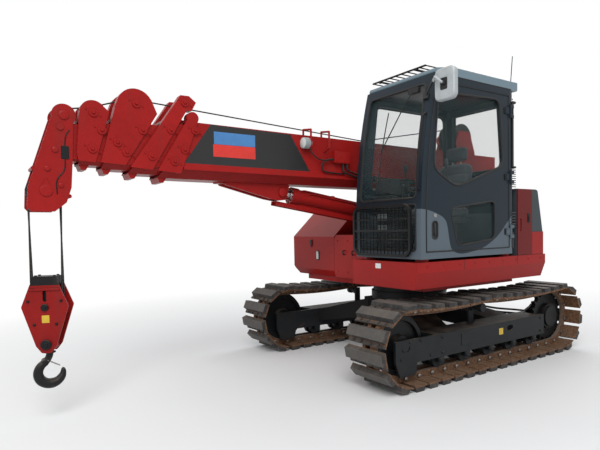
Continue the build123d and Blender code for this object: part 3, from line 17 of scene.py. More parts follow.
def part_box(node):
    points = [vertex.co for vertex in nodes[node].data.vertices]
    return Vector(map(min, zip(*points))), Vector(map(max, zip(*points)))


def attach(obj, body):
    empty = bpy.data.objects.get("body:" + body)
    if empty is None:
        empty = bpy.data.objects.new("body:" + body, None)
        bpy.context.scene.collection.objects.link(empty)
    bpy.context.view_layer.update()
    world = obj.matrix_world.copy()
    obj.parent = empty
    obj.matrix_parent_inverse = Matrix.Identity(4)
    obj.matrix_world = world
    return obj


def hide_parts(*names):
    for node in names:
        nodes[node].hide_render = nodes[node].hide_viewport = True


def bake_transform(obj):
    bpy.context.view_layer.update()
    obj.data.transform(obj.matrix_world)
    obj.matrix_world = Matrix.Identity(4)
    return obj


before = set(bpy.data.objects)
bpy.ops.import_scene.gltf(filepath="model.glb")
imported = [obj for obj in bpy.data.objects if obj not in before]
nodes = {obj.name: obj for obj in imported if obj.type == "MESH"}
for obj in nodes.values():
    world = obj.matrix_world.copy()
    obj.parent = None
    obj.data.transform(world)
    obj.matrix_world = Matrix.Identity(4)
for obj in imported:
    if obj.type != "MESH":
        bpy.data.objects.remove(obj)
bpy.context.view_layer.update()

# %% [markdown]
# ## Camera
#
# A camera is a point, a direction and a focal length. The direction is given as three
# turns: yaw about the vertical, pitch up or down, and a little roll. From them come
# three arrows, right, up and back, which are the columns of the camera's matrix. A small
# shift slides the frame sideways and up without turning the view.

# %% Place the camera
CAMERA_PLACE = (3.94069, 4.05491, 1.30994)
YAW, PITCH, ROLL = (math.radians(turn) for turn in (-125.778, -2.514, -1.053))
FRAME_WIDTH, FOCAL, SENSOR = 600, 518.52, 36
SHIFT = (-31.71, 26.01)


def camera_arrows(yaw, pitch, roll):
    """Right, up and back arrows: yaw and pitch aim the view, roll turns it in its plane."""
    ahead = np.array([math.cos(pitch) * math.cos(yaw), math.cos(pitch) * math.sin(yaw),
                      math.sin(pitch)])
    side = np.cross(ahead, (0, 0, 1))
    side /= np.linalg.norm(side)
    above = np.cross(side, ahead)
    right = math.cos(roll) * side + math.sin(roll) * above
    up = math.cos(roll) * above - math.sin(roll) * side
    return right, up, -ahead


def in_scene(thing):
    """Links an object to the scene and gives it back."""
    bpy.context.scene.collection.objects.link(thing)
    return thing


camera = in_scene(bpy.data.objects.new("camera", bpy.data.cameras.new("camera")))
columns = np.stack(camera_arrows(YAW, PITCH, ROLL), axis=1)
camera.matrix_world = Matrix.Translation(CAMERA_PLACE) @ Matrix(columns.tolist()).to_4x4()
camera.data.sensor_width = SENSOR
camera.data.lens = FOCAL * SENSOR / FRAME_WIDTH
camera.data.shift_x, camera.data.shift_y = (shift / FRAME_WIDTH for shift in SHIFT)
bpy.context.scene.camera = camera
bpy.context.scene.view_settings.view_transform = "Standard"

# %% [markdown]
# ## Nodes
#
# A material, a node group and the sky are all small trees of nodes. `step` adds a node
# beside anything that is already in the tree, and the short helpers after it are the sums
# that come up again and again. They find the tree through the sockets they are given.

# %% Node helpers
def step(near, kind, inputs=(), **settings):
    """Adds a node, sets its properties and joins or fills its inputs by name or number."""
    tree = near.id_data
    made = tree.nodes.new("ShaderNode" + kind)
    for key, value in settings.items():
        setattr(made, key, value)
    for key, value in dict(inputs).items():
        if isinstance(value, bpy.types.NodeSocket):
            tree.links.new(value, made.inputs[key])
        else:
            made.inputs[key].default_value = value
    return made


def feed(node, **sockets):
    """Joins sockets to a node's inputs by name."""
    for key, socket in sockets.items():
        node.id_data.links.new(socket, node.inputs[key.replace("_", " ")])


def reckon(operation, a, b=0.0, held=False):
    """One sum on two values, of which at least one is a socket."""
    near = a if isinstance(a, bpy.types.NodeSocket) else b
    return step(near, "Math", {0: a, 1: b}, operation=operation, use_clamp=held).outputs[0]


def times(a, b, held=False):
    """a times b, held between 0 and 1 if asked."""
    return reckon("MULTIPLY", a, b, held)


def plus(a, b, held=False):
    """a plus b, held between 0 and 1 if asked."""
    return reckon("ADD", a, b, held)


def minus(a, b):
    """a minus b."""
    return reckon("SUBTRACT", a, b)


def mix_colour(share, first, second):
    """Mixes two colours by a share."""
    return step(share, "Mix", {0: share, 6: first, 7: second}, data_type="RGBA").outputs[2]


def mix_number(share, first, second):
    """Mixes two numbers by a share."""
    return step(share, "Mix", {0: share, 2: first, 3: second}).outputs[0]


def span(value, low, high, to_low=0.0, to_high=1.0):
    """Stretches a value from one range to another, held at both ends."""
    return step(value, "MapRange",
                {0: value, 1: low, 2: high, 3: to_low, 4: to_high}).outputs[0]


def noise(place, scale, detail=3.0, rough=0.55):
    """Soft random value at a place."""
    return step(place, "TexNoise", {"Vector": place, "Scale": scale, "Detail": detail,
                                    "Roughness": rough}).outputs[0]


def here(near):
    """The place in Object coordinates."""
    return step(near, "TexCoord").outputs["Object"]


def parts_of(near, vector):
    """The x, y and z of a vector."""
    return step(near, "SeparateXYZ", {0: vector}).outputs


def upward(near):
    """How much a surface faces up: the Z of its normal."""
    return parts_of(near, step(near, "NewGeometry").outputs["Normal"])[2]


def seen_directly(near):
    """1 for rays that the eye follows: straight from the camera, mirrored or let through."""
    rays = step(near, "LightPath").outputs
    total = rays["Is Camera Ray"]
    for name in ("Is Glossy Ray", "Is Transmission Ray"):
        total = reckon("MAXIMUM", total, rays[name])
    return total


# %% [markdown]
# ## Studio
#
# A plain pale floor catches a soft shadow. The world is one even white, so that paint
# and glass have something calm to reflect, and one large lamp from the front left
# models the forms. A large lamp gives soft edges to the shadows, as a cloudy sky does.

# %% Floor, world and lamps
FLOOR_HALF = 40
floor_mesh = bpy.data.meshes.new("studio_floor")
floor_mesh.from_pydata([(x * FLOOR_HALF, y * FLOOR_HALF, 0)
                        for x, y in ((-1, -1), (1, -1), (1, 1), (-1, 1))], [], [(0, 1, 2, 3)])
in_scene(bpy.data.objects.new("studio_floor", floor_mesh))

world = bpy.data.worlds.new("studio")
bpy.context.scene.world = world
world.use_nodes = True
sky = world.node_tree
plain = sky.nodes["Background"]
plain.inputs["Color"].default_value = (0.95, 0.98, 1.0, 1)
plain.inputs["Strength"].default_value = 0.55
bright = step(sky, "Background", {"Color": (1, 1, 1, 1), "Strength": 1.0})
choose = step(sky, "MixShader", {0: seen_directly(sky), 1: plain.outputs[0],
                                 2: bright.outputs[0]})
feed(sky.nodes["World Output"], Surface=choose.outputs[0])


def soft_lamp(name, place, aim, size, power):
    """A square area lamp that looks from its place to its aim."""
    light = bpy.data.lights.new(name, "AREA")
    light.size, light.energy = size, power
    lamp = in_scene(bpy.data.objects.new(name, light))
    lamp.location = place
    lamp.rotation_euler = (Vector(aim) - Vector(place)).to_track_quat("-Z", "Y").to_euler()


soft_lamp("key_lamp", (5.5, 6.0, 7.5), (0.3, 0.0, 1.2), 5.0, 520)
soft_lamp("rear_lamp", (-6.0, -3.0, 6.0), (0.0, 0.0, 1.2), 5.0, 200)

# %% [markdown]
# ## Shapes from arrays
#
# Every added piece is a surface worked out with numpy. A tube is a circle carried along
# a path, a slab is a flat outline with bevelled rims, a lathe turns a profile about an
# axis. Each helper returns its points and its faces, and `put` makes the mesh, turns
# the faces outwards and lets the piece ride on the body that carries it.

# %% Grid, skin, gather and put
SHARP = math.radians(38)


def grid(rows, cols, wrap_rows=False):
    """Four-cornered faces between the neighbours of a grid whose rows are closed rings."""
    i = np.arange(rows if wrap_rows else rows - 1)[:, None]
    j = np.arange(cols)[None, :]
    i2, j2 = (i + 1) % rows, (j + 1) % cols
    return np.stack([i * cols + j, i * cols + j2, i2 * cols + j2, i2 * cols + j],
                    axis=-1).reshape(-1, 4)


def skin(rings):
    """A closed body from rings of points: walls between the rings and a lid at each end."""
    count, around = rings.shape[:2]
    lid = np.arange(around)[None]
    return rings.reshape(-1, 3), [grid(count, around), lid[:, ::-1], lid + (count - 1) * around]


def copied(points, faces):
    """One template's faces counted on for every copy, points being copies by points by 3."""
    on = np.arange(len(points))[:, None, None] * points.shape[1]
    return points.reshape(-1, 3), [(block[None] + on).reshape(-1, block.shape[1])
                                   for block in faces]


def gather(shapes):
    """Several shapes as one: their points end to end, their faces counted on."""
    start = np.cumsum([0] + [len(points) for points, _ in shapes])
    faces = [block + first for (_, blocks), first in zip(shapes, start) for block in blocks]
    return np.concatenate([points for points, _ in shapes]), faces


def put(name, shape, material, body):
    """Makes a piece from a shape or a list of shapes, facing outwards, riding on a body
    if one is named."""
    points, faces = gather(shape) if isinstance(shape, list) else shape
    mesh = bpy.data.meshes.new(name)
    mesh.from_pydata(points.tolist(), [], [face for block in faces for face in block.tolist()])
    shell = bmesh.new()
    shell.from_mesh(mesh)
    bmesh.ops.remove_doubles(shell, verts=shell.verts, dist=1e-5)
    bmesh.ops.recalc_face_normals(shell, faces=shell.faces)
    shell.to_mesh(mesh)
    shell.free()
    mesh.polygons.foreach_set("use_smooth", np.ones(len(mesh.polygons), bool))
    mesh.set_sharp_from_angle(angle=SHARP)
    mesh.materials.append(material)
    piece = in_scene(bpy.data.objects.new(name, mesh))
    if body:
        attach(piece, body)
    return piece


# %% Arrows, circles and rounded corners
LEFT = np.array((0.0, 1.0, 0.0))
ANY_WAY = (0.31, 0.83, 0.46)


def unit(arrows):
    """Arrows brought to length one."""
    arrows = np.asarray(arrows, float)
    return arrows / np.linalg.norm(arrows, axis=-1, keepdims=True)


def at(x, y, z):
    """Points from three coordinates, of which any may be one number for all."""
    return np.stack(np.broadcast_arrays(np.asarray(x, float), y, z), axis=-1)


def about(middle, half):
    """The span from half a width before a middle to half a width after it."""
    return middle - half, middle + half


def circle(count, first, second):
    """Points round a circle: cos a times the first arrow plus sin a times the second."""
    a = np.linspace(0, 2 * np.pi, count, endpoint=False)[:, None]
    return np.cos(a) * first + np.sin(a) * second


def eased(corners, before, after, reach, steps):
    """Gives each corner's place to a parabola, from a point the reach before it to one
    the reach after it, never past the middle of a side."""
    ends = []
    for other in (before, after):
        length = np.linalg.norm(other - corners, axis=1, keepdims=True)
        ends.append(corners + (other - corners) / length * np.minimum(reach, length * 0.49))
    t = np.linspace(0, 1, steps)[None, :, None]
    curve = ((1 - t) ** 2 * ends[0][:, None] + 2 * t * (1 - t) * corners[:, None]
             + t ** 2 * ends[1][:, None])
    return curve.reshape(-1, corners.shape[1])


def bent(corners, bend, steps=5):
    """An open path with rounded corners."""
    corners = np.asarray(corners, float)
    curve = eased(corners[1:-1], corners[:-2], corners[2:], bend, steps)
    return np.vstack([corners[:1], curve, corners[-1:]])


def rounded(corners, radius, steps=5):
    """A closed flat outline with rounded corners."""
    corners = np.asarray(corners, float)
    return eased(corners, np.roll(corners, 1, 0), np.roll(corners, -1, 0), radius, steps)


# %% Tubes and rods
def tube(path, radius, sides=8, closed=False, flat=1.0, ref=None):
    """A circle carried along a path. At each point two arrows square to the path span the
    circle: path + radius (cos a * first + sin a * second). Flat squeezes the second."""
    path = np.asarray(path, float)
    ahead = unit(np.roll(path, -1, 0) - np.roll(path, 1, 0) if closed
                 else np.gradient(path, axis=0))
    if ref is None:
        spread = np.linalg.svd(path - path.mean(0))[2]
        ref = spread[2] + 1e-3 * spread[1]
    first = unit(np.cross(ahead, np.asarray(ref, float)))
    second = np.cross(ahead, first)
    size = np.broadcast_to(np.asarray(radius, float), (len(path),))[:, None, None]
    rings = path[:, None] + size * circle(sides, first[:, None], flat * second[:, None])
    return (rings.reshape(-1, 3), [grid(len(path), sides, True)]) if closed else skin(rings)


def hose(corners, bend, radius, steps=5, sides=8):
    """A round tube along a path with rounded corners."""
    return tube(bent(corners, bend, steps), radius, sides)


def many_rods(starts, ends, radius, sides=6):
    """Straight rods between pairs of points, all worked out at once."""
    starts, ends = np.atleast_2d(starts).astype(float), np.atleast_2d(ends).astype(float)
    ahead = unit(ends - starts)
    first = unit(np.cross(ahead, ANY_WAY))
    ring = radius * circle(sides, first[:, None], np.cross(ahead, first)[:, None])
    lid = np.arange(sides)
    return copied(np.concatenate([starts[:, None] + ring, ends[:, None] + ring], axis=1),
                  [grid(2, sides), np.stack([lid[::-1], lid + sides])])


# %% Slabs, plates, turned parts and bolts
AXES = {"x": (1, 2, 0), "y": (0, 2, 1), "z": (0, 1, 2)}


def box_outline(across, up, radius=0.0, steps=4):
    """The outline of a rectangle given by two spans, rounded if a radius is given."""
    (a0, a1), (b0, b1) = across, up
    corners = np.array([(a0, b0), (a1, b0), (a1, b1), (a0, b1)], float)
    return rounded(corners, radius, steps) if radius else corners


def inset(outline, depth):
    """An outline moved inwards: each point goes along the mean of its two edges' normals."""
    following = np.roll(outline, -1, 0)
    turned_left = np.sum(outline[:, 0] * following[:, 1] - following[:, 0] * outline[:, 1]) > 0
    edge = following - outline
    edge /= np.maximum(np.linalg.norm(edge, axis=1, keepdims=True), 1e-9)
    normal = np.stack([-edge[:, 1], edge[:, 0]], 1) * (1 if turned_left else -1)
    mean = normal + np.roll(normal, 1, 0)
    mean /= np.maximum(np.sum(mean * mean, axis=1, keepdims=True) / 2, 0.25)
    return outline + mean * depth


def slab(outline, axis, span_along, bevel=0.0015):
    """A flat outline pulled along an axis, its two rims bevelled: four rings and two lids."""
    outline = np.asarray(outline, float)
    low, high = sorted(span_along)
    small = inset(outline, bevel)
    rings = np.empty((4, len(outline), 3))
    levels = (low, low + bevel, high - bevel, high)
    for ring, shape, level in zip(rings, (small, outline, outline, small), levels):
        ring[:, AXES[axis][:2]], ring[:, AXES[axis][2]] = shape, level
    return skin(rings)


def plate(axis, across, up, span_along, radius=0.0, bevel=0.0015, steps=4):
    """A rectangular slab given by three spans, the last one along its axis."""
    return slab(box_outline(across, up, radius, steps), axis, span_along, bevel)


def brick(x, y, z, bevel=0.002):
    """A small block with bevelled edges, given by its three spans."""
    return plate("z", x, y, z, bevel, bevel, 2)


def turned(profile, centre, axis, sides=24):
    """A profile of (radius, height) turned about an axis through a centre, with flat lids."""
    radius, height = np.asarray(profile, float).T[:, :, None, None]
    axis = unit(axis)
    first = unit(np.cross(axis, ANY_WAY))
    return skin(np.asarray(centre, float) + height * axis
                + radius * circle(sides, first, np.cross(axis, first)))


def hex_bolts(places, normal, size=0.009, rise=0.007):
    """Hexagon heads: one six-sided template copied to every place along one normal."""
    profile = ((size, 0), (size, rise * 0.75), (size * 0.82, rise))
    shape, faces = turned(profile, (0, 0, 0), normal, 6)
    return copied(np.asarray(places, float).reshape(-1, 1, 3) + shape, faces)


# %% [markdown]
# ## Finishes
#
# Effects that several finishes share are made once as node groups: uneven colour, dust
# that settles on what faces up, grime that runs down, fine grain for the light to catch,
# and rust. All of them read Object coordinates, so a pattern keeps its real size on a
# small bolt and on a long boom.

# %% Groups
GREY = (0.5, 0.5, 0.5, 1)


def new_group(name, inputs, *outputs):
    """An empty node group; a tuple or the name Colour makes a colour socket, anything else
    a number. Gives the group, its inputs and its output node."""
    group = bpy.data.node_groups.new(name, "ShaderNodeTree")

    def socket(called, way, colour):
        """Adds one socket, for a colour or for a number."""
        kind = "NodeSocketColor" if colour else "NodeSocketFloat"
        return group.interface.new_socket(called, in_out=way, socket_type=kind)

    for called, value in inputs.items():
        socket(called, "INPUT", isinstance(value, tuple)).default_value = value
    for called in outputs:
        socket(called, "OUTPUT", called == "Colour")
    return group, group.nodes.new("NodeGroupInput").outputs, group.nodes.new("NodeGroupOutput")


# %% [markdown]
# Paint is never one colour. Sun, dust and rain leave soft patches a little lighter or
# darker, so the first group varies a colour by two noises of different size.

# %% Uneven colour
uneven, given, result = new_group("uneven colour", {"Colour": GREY, "Amount": 0.15,
                                                    "Scale": 3.0}, "Colour", "Mask")
place = here(uneven)
wide = noise(place, given["Scale"], 4.0)
close = noise(place, times(given["Scale"], 9.0), 3.0)
both = plus(times(wide, 0.7), times(close, 0.3))
factor = plus(1.0, times(span(both, 0.3, 0.7, -1.0, 1.0), given["Amount"]))
scaled = step(uneven, "VectorMath", {0: given["Colour"], "Scale": factor}, operation="SCALE")
feed(result, Colour=scaled.outputs[0], Mask=both)

# %% [markdown]
# Dust lies where a face looks up, and more of it near the ground. The group mixes a dust
# colour over the paint by the upward part of the surface normal, broken up by noise.

# %% Settled dust
DUST, DUST_ROUGHNESS = (0.30, 0.235, 0.175, 1), 0.85
dusty, given, result = new_group(
    "settled dust", {"Colour": GREY, "Roughness": 0.4, "Amount": 0.4, "Low dust": 0.0},
    "Colour", "Roughness")
place = here(dusty)
height = parts_of(dusty, place)[2]
patch = span(noise(place, 7.0, 5.0), 0.35, 0.7)
lying = times(span(upward(dusty), 0.25, 0.95), patch)
low_down = times(span(height, 1.0, 0.1), given["Low dust"])
low_part = times(low_down, span(patch, 0.0, 1.0, 0.4, 1.0))
share = plus(times(lying, given["Amount"]), low_part, True)
feed(result, Colour=mix_colour(share, given["Colour"], DUST),
     Roughness=mix_number(share, given["Roughness"], DUST_ROUGHNESS))

# %% [markdown]
# Rain carries grime down a wall in streaks. A noise stretched along Z, much finer across
# than along, gives streaks, and a second noise decides where there are any.

# %% Streaks of grime
streaky, given, result = new_group("grime streaks", {"Colour": GREY, "Amount": 0.25,
                                                     "Grime": (0.05, 0.035, 0.03, 1)}, "Colour")
place = here(streaky)
drawn = step(streaky, "Mapping", {0: place, 3: (14.0, 14.0, 1.3)}).outputs[0]
lines = span(noise(drawn, 1.0, 5.0, 0.6), 0.52, 0.78)
where = span(noise(place, 1.4, 2.0), 0.4, 0.65)
share = times(times(lines, where), given["Amount"], True)
feed(result, Colour=mix_colour(share, given["Colour"], given["Grime"]))

# %% [markdown]
# Sprayed paint has a faint orange-peel skin and cast iron a sandy one. Both are a height
# for a Bump node; the scale makes the difference.

# %% Fine grain
grain, given, result = new_group("fine grain", {"Scale": 120.0, "Strength": 1.0}, "Height")
feed(result, Height=times(noise(here(grain), given["Scale"], 4.0, 0.6), given["Strength"]))

# %% [markdown]
# Worn steel is brown where it rusts and grey where stones rub it. The group gives a rust
# colour out of three browns, how rough it is, and how much bare metal shows.

# %% Rust
RUSTS = ((0.3, (0.055, 0.026, 0.014, 1)), (0.52, (0.14, 0.07, 0.036, 1)),
         (0.75, (0.26, 0.125, 0.06, 1)))
rusty, given, result = new_group("rust", {"Colour": (0.1, 0.1, 0.1, 1), "Amount": 0.5,
                                          "Scale": 12.0},
                                 "Colour", "Roughness", "Metal", "Height")
place = here(rusty)
coarse = noise(place, given["Scale"], 6.0, 0.65)
mottled = noise(place, times(given["Scale"], 5.0), 4.0, 0.6)
tint = step(rusty, "ValToRGB", {0: mottled})
stops = tint.color_ramp.elements
stops.new(0.5)
for number, (position, brown) in enumerate(RUSTS):
    stops[number].position, stops[number].color = position, brown
edge = minus(1.0, given["Amount"])
share = span(coarse, minus(edge, 0.12), plus(edge, 0.1))
feed(result, Colour=mix_colour(share, given["Colour"], tint.outputs[0]),
     Roughness=span(share, 0, 1, 0.45, 0.85), Metal=span(share, 0, 1, 0.7, 0.1),
     Height=times(share, mottled))


# %% Blank material, bump and settled dust
def blank(name, slot, **plain):
    """A material with one Principled shader; plain values go on the shader's own sockets."""
    material = bpy.data.materials.new(name)
    material.use_nodes = True
    shader = material.node_tree.nodes["Principled BSDF"]
    for key, value in plain.items():
        shader.inputs[key.replace("_", " ")].default_value = value
    return material, shader


def use(near, group, **inputs):
    """Places a node group in a material and fills its inputs."""
    return step(near, "Group", {key.replace("_", " "): value for key, value in inputs.items()},
                node_tree=group).outputs


def vary(shader, colour, amount, scale):
    """An uneven version of a colour, which may also be a function that makes a socket."""
    base = colour(shader) if callable(colour) else colour
    return use(shader, uneven, Colour=base, Amount=amount, Scale=scale)["Colour"]


def settle(shader, colour, roughness, dust, low_dust=0.0):
    """Dust over a colour, on its way to the shader's colour and roughness."""
    covered = use(shader, dusty, Colour=colour, Roughness=roughness, Amount=dust,
                  Low_dust=low_dust)
    feed(shader, Base_Color=covered["Colour"], Roughness=covered["Roughness"])


def bump(shader, height, strength, distance=0.001):
    """Lets the light catch a height; a plain number is the scale of a fine grain."""
    if not isinstance(height, bpy.types.NodeSocket):
        height = use(shader, grain, Scale=height)["Height"]
    made = step(shader, "Bump", {"Height": height, "Strength": strength, "Distance": distance})
    feed(shader, Normal=made.outputs[0])


def painted(name, colour, roughness, uneven_by, dust, low_dust, grime, coat=0.06,
            slot="red_paint"):
    """Sprayed paint on steel: uneven colour, streaks, dust on top and an orange-peel skin."""
    material, shader = blank(name, slot, Coat_Weight=coat, Coat_Roughness=0.12,
                             Specular_IOR_Level=0.13)
    streaked = use(shader, streaky, Colour=vary(shader, colour, uneven_by, 2.2), Amount=grime)
    settle(shader, streaked["Colour"], roughness, dust, low_dust)
    bump(shader, 160.0, 0.25, 0.0006)
    return material


# %% [markdown]
# ## Red paint
#
# The boom's red is older and a little duller than the red of the house. Its underside is
# darker by painted shade, which a share from the normal's Z adds.

# %% Reds
HOUSE_RED = (0.310, 0.012, 0.0105, 1)
SOOT = (0.012, 0.012, 0.013, 1)
BAR_LOW = 0.957
HOOD_FRONT, HOOD_FOOT = -0.554, 1.235


def boom_red_painted_shade(shader):
    """Red that darkens where the surface looks down: painted shade on the underside."""
    return mix_colour(times(span(upward(shader), -0.2, -0.9), 0.45),
                      (0.315, 0.012, 0.011, 1), (0.05, 0.008, 0.008, 1))


def block_colour(shader):
    """Red cheeks under a black top bar."""
    z = parts_of(shader, here(shader))[2]
    return mix_colour(reckon("GREATER_THAN", z, BAR_LOW), (0.26, 0.009, 0.008, 1), SOOT)


def housing_colour(shader):
    """Red forward of the engine's hood, dark grey behind and above it."""
    x, y, z = parts_of(shader, here(shader))
    behind = times(reckon("LESS_THAN", x, HOOD_FRONT), reckon("GREATER_THAN", z, HOOD_FOOT))
    return mix_colour(behind, HOUSE_RED, (0.040, 0.054, 0.062, 1))


boom_red = painted("boom red", boom_red_painted_shade, 0.36, 0.14, 0.10, 0, 0.34, 0.0)
house_red = painted("house red", HOUSE_RED, 0.32, 0.09, 0.07, 0.01, 0.2, 0.03)
# The service door's darker red is painted shade: the house red darkened for a door in shade.
door_red_painted_shade = painted("door red painted shade", (0.135, 0.007, 0.007, 1), 0.35, 0.09, 0.05, 0.0, 0.2, 0.03)
block_red = painted("block red", block_colour, 0.45, 0.2, 0.3, 0, 0.5)
housing_red = painted("housing red", housing_colour, 0.33, 0.09, 0.07, 0.01, 0.22)

# %% [markdown]
# ## Cab paint in two greys
#
# A dark slate upper part sweeps down into a light blue-grey lower part. The line between
# them is a curve of height against length, so it is kept as a curve node: the shader asks
# whether a point lies below the height that the curve gives for its X.

# %% Two-tone cab
SWEEP = np.array(((-0.34, 1.49), (-0.171, 1.338), (0.027, 1.182), (0.30, 1.09), (0.582, 1.109),
                  (0.661, 1.355), (0.80, 1.425), (0.96, 1.452)))


def two_tone(shader):
    """Light grey below a curved line, dark slate above it."""
    x, y, z = parts_of(shader, here(shader))
    low_x, high_x = SWEEP[0, 0], SWEEP[-1, 0]
    curve = step(shader, "FloatCurve", {1: span(x, low_x, high_x)})
    points = curve.mapping.curves[0].points
    places = (SWEEP - (low_x, 1.0)) / (high_x - low_x, 1.0)
    points[0].location, points[-1].location = places[0], places[-1]
    for spot in places[1:-1]:
        points.new(*spot)
    curve.mapping.update()
    below = span(minus(plus(curve.outputs[0], 1.0), z), -0.001, 0.001)
    return mix_colour(below, (0.013, 0.022, 0.031, 1), (0.098, 0.124, 0.148, 1))


cab_paint = painted("cab two tone", two_tone, 0.33, 0.06, 0.06, 0, 0.12, slot="cab_blue")
roof_paint = painted("roof grey", (0.17, 0.235, 0.275, 1), 0.4, 0.06, 0.3, 0, 0.1,
                     slot="roof_grey")
hood_paint = painted("hood grey", (0.048, 0.062, 0.070, 1), 0.42, 0.08, 0.4, 0, 0.15,
                     slot="dark_steel")

# %% [markdown]
# ## Dark finishes
#
# Chassis paint is a dark slate with rust where mud lies. Black rubber and plastic are
# rough and slightly lighter than one expects, because real black is never 0.

# %% Chassis paint, black, rubber and plastic
def worn_dark(name, colour, rust_by, low_dust, slot="dark_steel", roughness=0.5):
    """Dark paint that rusts in patches, with dust where it faces up."""
    material, shader = blank(name, slot, Specular_IOR_Level=0.2)
    rusted = use(shader, rusty, Colour=vary(shader, (*colour, 1), 0.25, 3.0), Amount=rust_by,
                 Scale=6.0)
    settle(shader, rusted["Colour"], roughness, 0.35, low_dust)
    bump(shader, 70.0, 0.4, 0.0015)
    return material


def moulded(name, colour, roughness, scale, slot, strength=0.35):
    """Rubber or plastic: nearly even colour and a fine moulded skin."""
    material, shader = blank(name, slot, Specular_IOR_Level=0.4)
    settle(shader, vary(shader, colour, 0.18, 8.0), roughness, 0.2)
    bump(shader, scale, strength, 0.0008)
    return material


def shell_colour(shader):
    """Pale mirror shell on a black arm: the arm ends where the shell begins."""
    y = parts_of(shader, here(shader))[1]
    return mix_colour(reckon("GREATER_THAN", y, 1.232), SOOT, (0.42, 0.45, 0.46, 1))


frame_paint = worn_dark("frame slate", (0.010, 0.013, 0.016), 0.24, 0.035, "frame_grey")
body_paint = worn_dark("car body black", (0.004, 0.0045, 0.005), 0.18, 0.01, "black_paint")
black_steel = worn_dark("black steel", (0.007, 0.008, 0.009), 0.16, 0.0, roughness=0.42)
hook_steel = worn_dark("hook steel", (0.012, 0.012, 0.013), 0.30, 0.0, roughness=0.4)
rubber = moulded("black rubber", SOOT, 0.62, 300.0, "dark_steel")
plastic = moulded("dark plastic", (0.022, 0.024, 0.026, 1), 0.5, 400.0, "plastic")
seat_base = moulded("seat base", (0.03, 0.03, 0.034, 1), 0.6, 300.0, "seat_trim")
pale_grey = moulded("pale grey plastic", (0.30, 0.33, 0.34, 1), 0.42, 200.0, "plastic", 0.2)
mirror_shell = moulded("mirror shell", shell_colour, 0.4, 250.0, "plastic", 0.2)
hose_rubber = moulded("hose rubber", (0.010, 0.010, 0.011, 1), 0.45, 500.0, "dark_steel")

# %% [markdown]
# ## Track steel and pads
#
# A shoe is bare rusty steel, its pad dark grey rubber scuffed pale at the edges. The CAD
# loop is one solid, so the shader tells them apart by how far a point lies outside the
# loop's centre line: two half circles round the axles, joined by straight runs, of which
# the upper one sags between its supports.

# %% Track finish
AXLE_X, AXLE_Z, PIN_R = 1.069, 0.348, 0.278
CARRIER_X, SAG = 0.030, 0.022


def loop_distance(x, z):
    """Distance from the line between the axles, with the upper run lifted by its sag."""
    behind = reckon("LESS_THAN", x, CARRIER_X)
    near = mix_number(behind, CARRIER_X, -AXLE_X)
    far = mix_number(behind, AXLE_X, CARRIER_X)
    share = reckon("DIVIDE", minus(x, near), minus(far, near), True)
    hump = times(times(share, minus(1.0, share)), 4 * SAG)
    upper = reckon("GREATER_THAN", z, AXLE_Z)
    lifted = plus(minus(z, AXLE_Z), times(hump, upper))
    past = reckon("MAXIMUM", minus(reckon("ABSOLUTE", x), AXLE_X), 0.0)
    return reckon("SQRT", plus(reckon("POWER", past, 2.0), times(lifted, lifted)))


track_finish, shader = blank("track steel and pads", "shoe_steel", Specular_IOR_Level=0.35)
place = here(shader)
x, y, z = parts_of(shader, place)
away = loop_distance(x, z)
ragged = plus(away, span(noise(place, 40.0), 0, 1, -0.004, 0.004))
pad = span(ragged, PIN_R + 0.031, PIN_R + 0.035)
worn = span(noise(place, 18.0, 5.0, 0.7), 0.45, 0.72)
steel = use(shader, rusty, Colour=(0.100, 0.060, 0.038, 1), Amount=0.80, Scale=9.0)
scuffed = mix_colour(worn, (0.026, 0.026, 0.027, 1), (0.090, 0.080, 0.072, 1))
tread = span(away, PIN_R + 0.066, PIN_R + 0.0695)
scuffed = mix_colour(times(tread, 0.55), scuffed, (0.120, 0.112, 0.104, 1))
inside = span(away, PIN_R - 0.03, PIN_R - 0.036)
rim = mix_colour(times(inside, 0.5), steel["Colour"], (0.20, 0.18, 0.165, 1))
settle(shader, mix_colour(pad, rim, scuffed), 0.7, 0.22, 0.06)
feed(shader, Metallic=times(steel["Metal"], times(minus(1.0, pad), 0.3)))
bump(shader, 55.0, 0.7, 0.003)

# %% [markdown]
# ## Metal, rope and glass
#
# Bare steel is metallic with fine scratches. Wire rope gets its strands from a wave that
# runs along it. The tinted panes stay partly see-through by their alpha, so that light
# reaches the seat, and keep a sharp gloss.

# %% Bare steel, rope, glass and small colours
def bare_metal(name, colour, roughness, slot="steel", rust_by=0.1):
    """Metal with faint scratches and a little rust."""
    material, shader = blank(name, slot, Metallic=1.0)
    rusted = use(shader, rusty, Colour=(*colour, 1), Amount=rust_by, Scale=20.0)
    drawn = step(shader, "Mapping", {0: here(shader), 3: (30.0, 30.0, 400.0)}).outputs[0]
    fine = noise(drawn, 1.0, 3.0)
    feed(shader, Base_Color=rusted["Colour"],
         Roughness=span(fine, 0.3, 0.7, roughness - 0.08, roughness + 0.12))
    bump(shader, fine, 0.15, 0.0004)
    return material


def plain_gloss(name, colour, roughness):
    """A small glossy part in one strong colour, slightly uneven."""
    material, shader = blank(name, "plastic", Roughness=roughness)
    feed(shader, Base_Color=vary(shader, (*colour, 1), 0.1, 10.0))
    bump(shader, 300.0, 0.1, 0.0004)
    return material


chrome = bare_metal("rod chrome", (0.62, 0.63, 0.64), 0.2)
dull_steel = bare_metal("dull steel", (0.30, 0.29, 0.28), 0.42, "dark_steel", 0.3)

rope_steel, shader = blank("wire rope", "rope", Metallic=0.6)
x, y, z = parts_of(shader, here(shader))
strand = span(reckon("SINE", times(plus(z, plus(x, times(y, 1.2))), 900.0)), -1, 1)
feed(shader, Base_Color=mix_colour(strand, (0.006, 0.006, 0.006, 1), (0.045, 0.043, 0.04, 1)),
     Roughness=span(strand, 0, 1, 0.65, 0.4))
bump(shader, strand, 0.6, 0.0012)

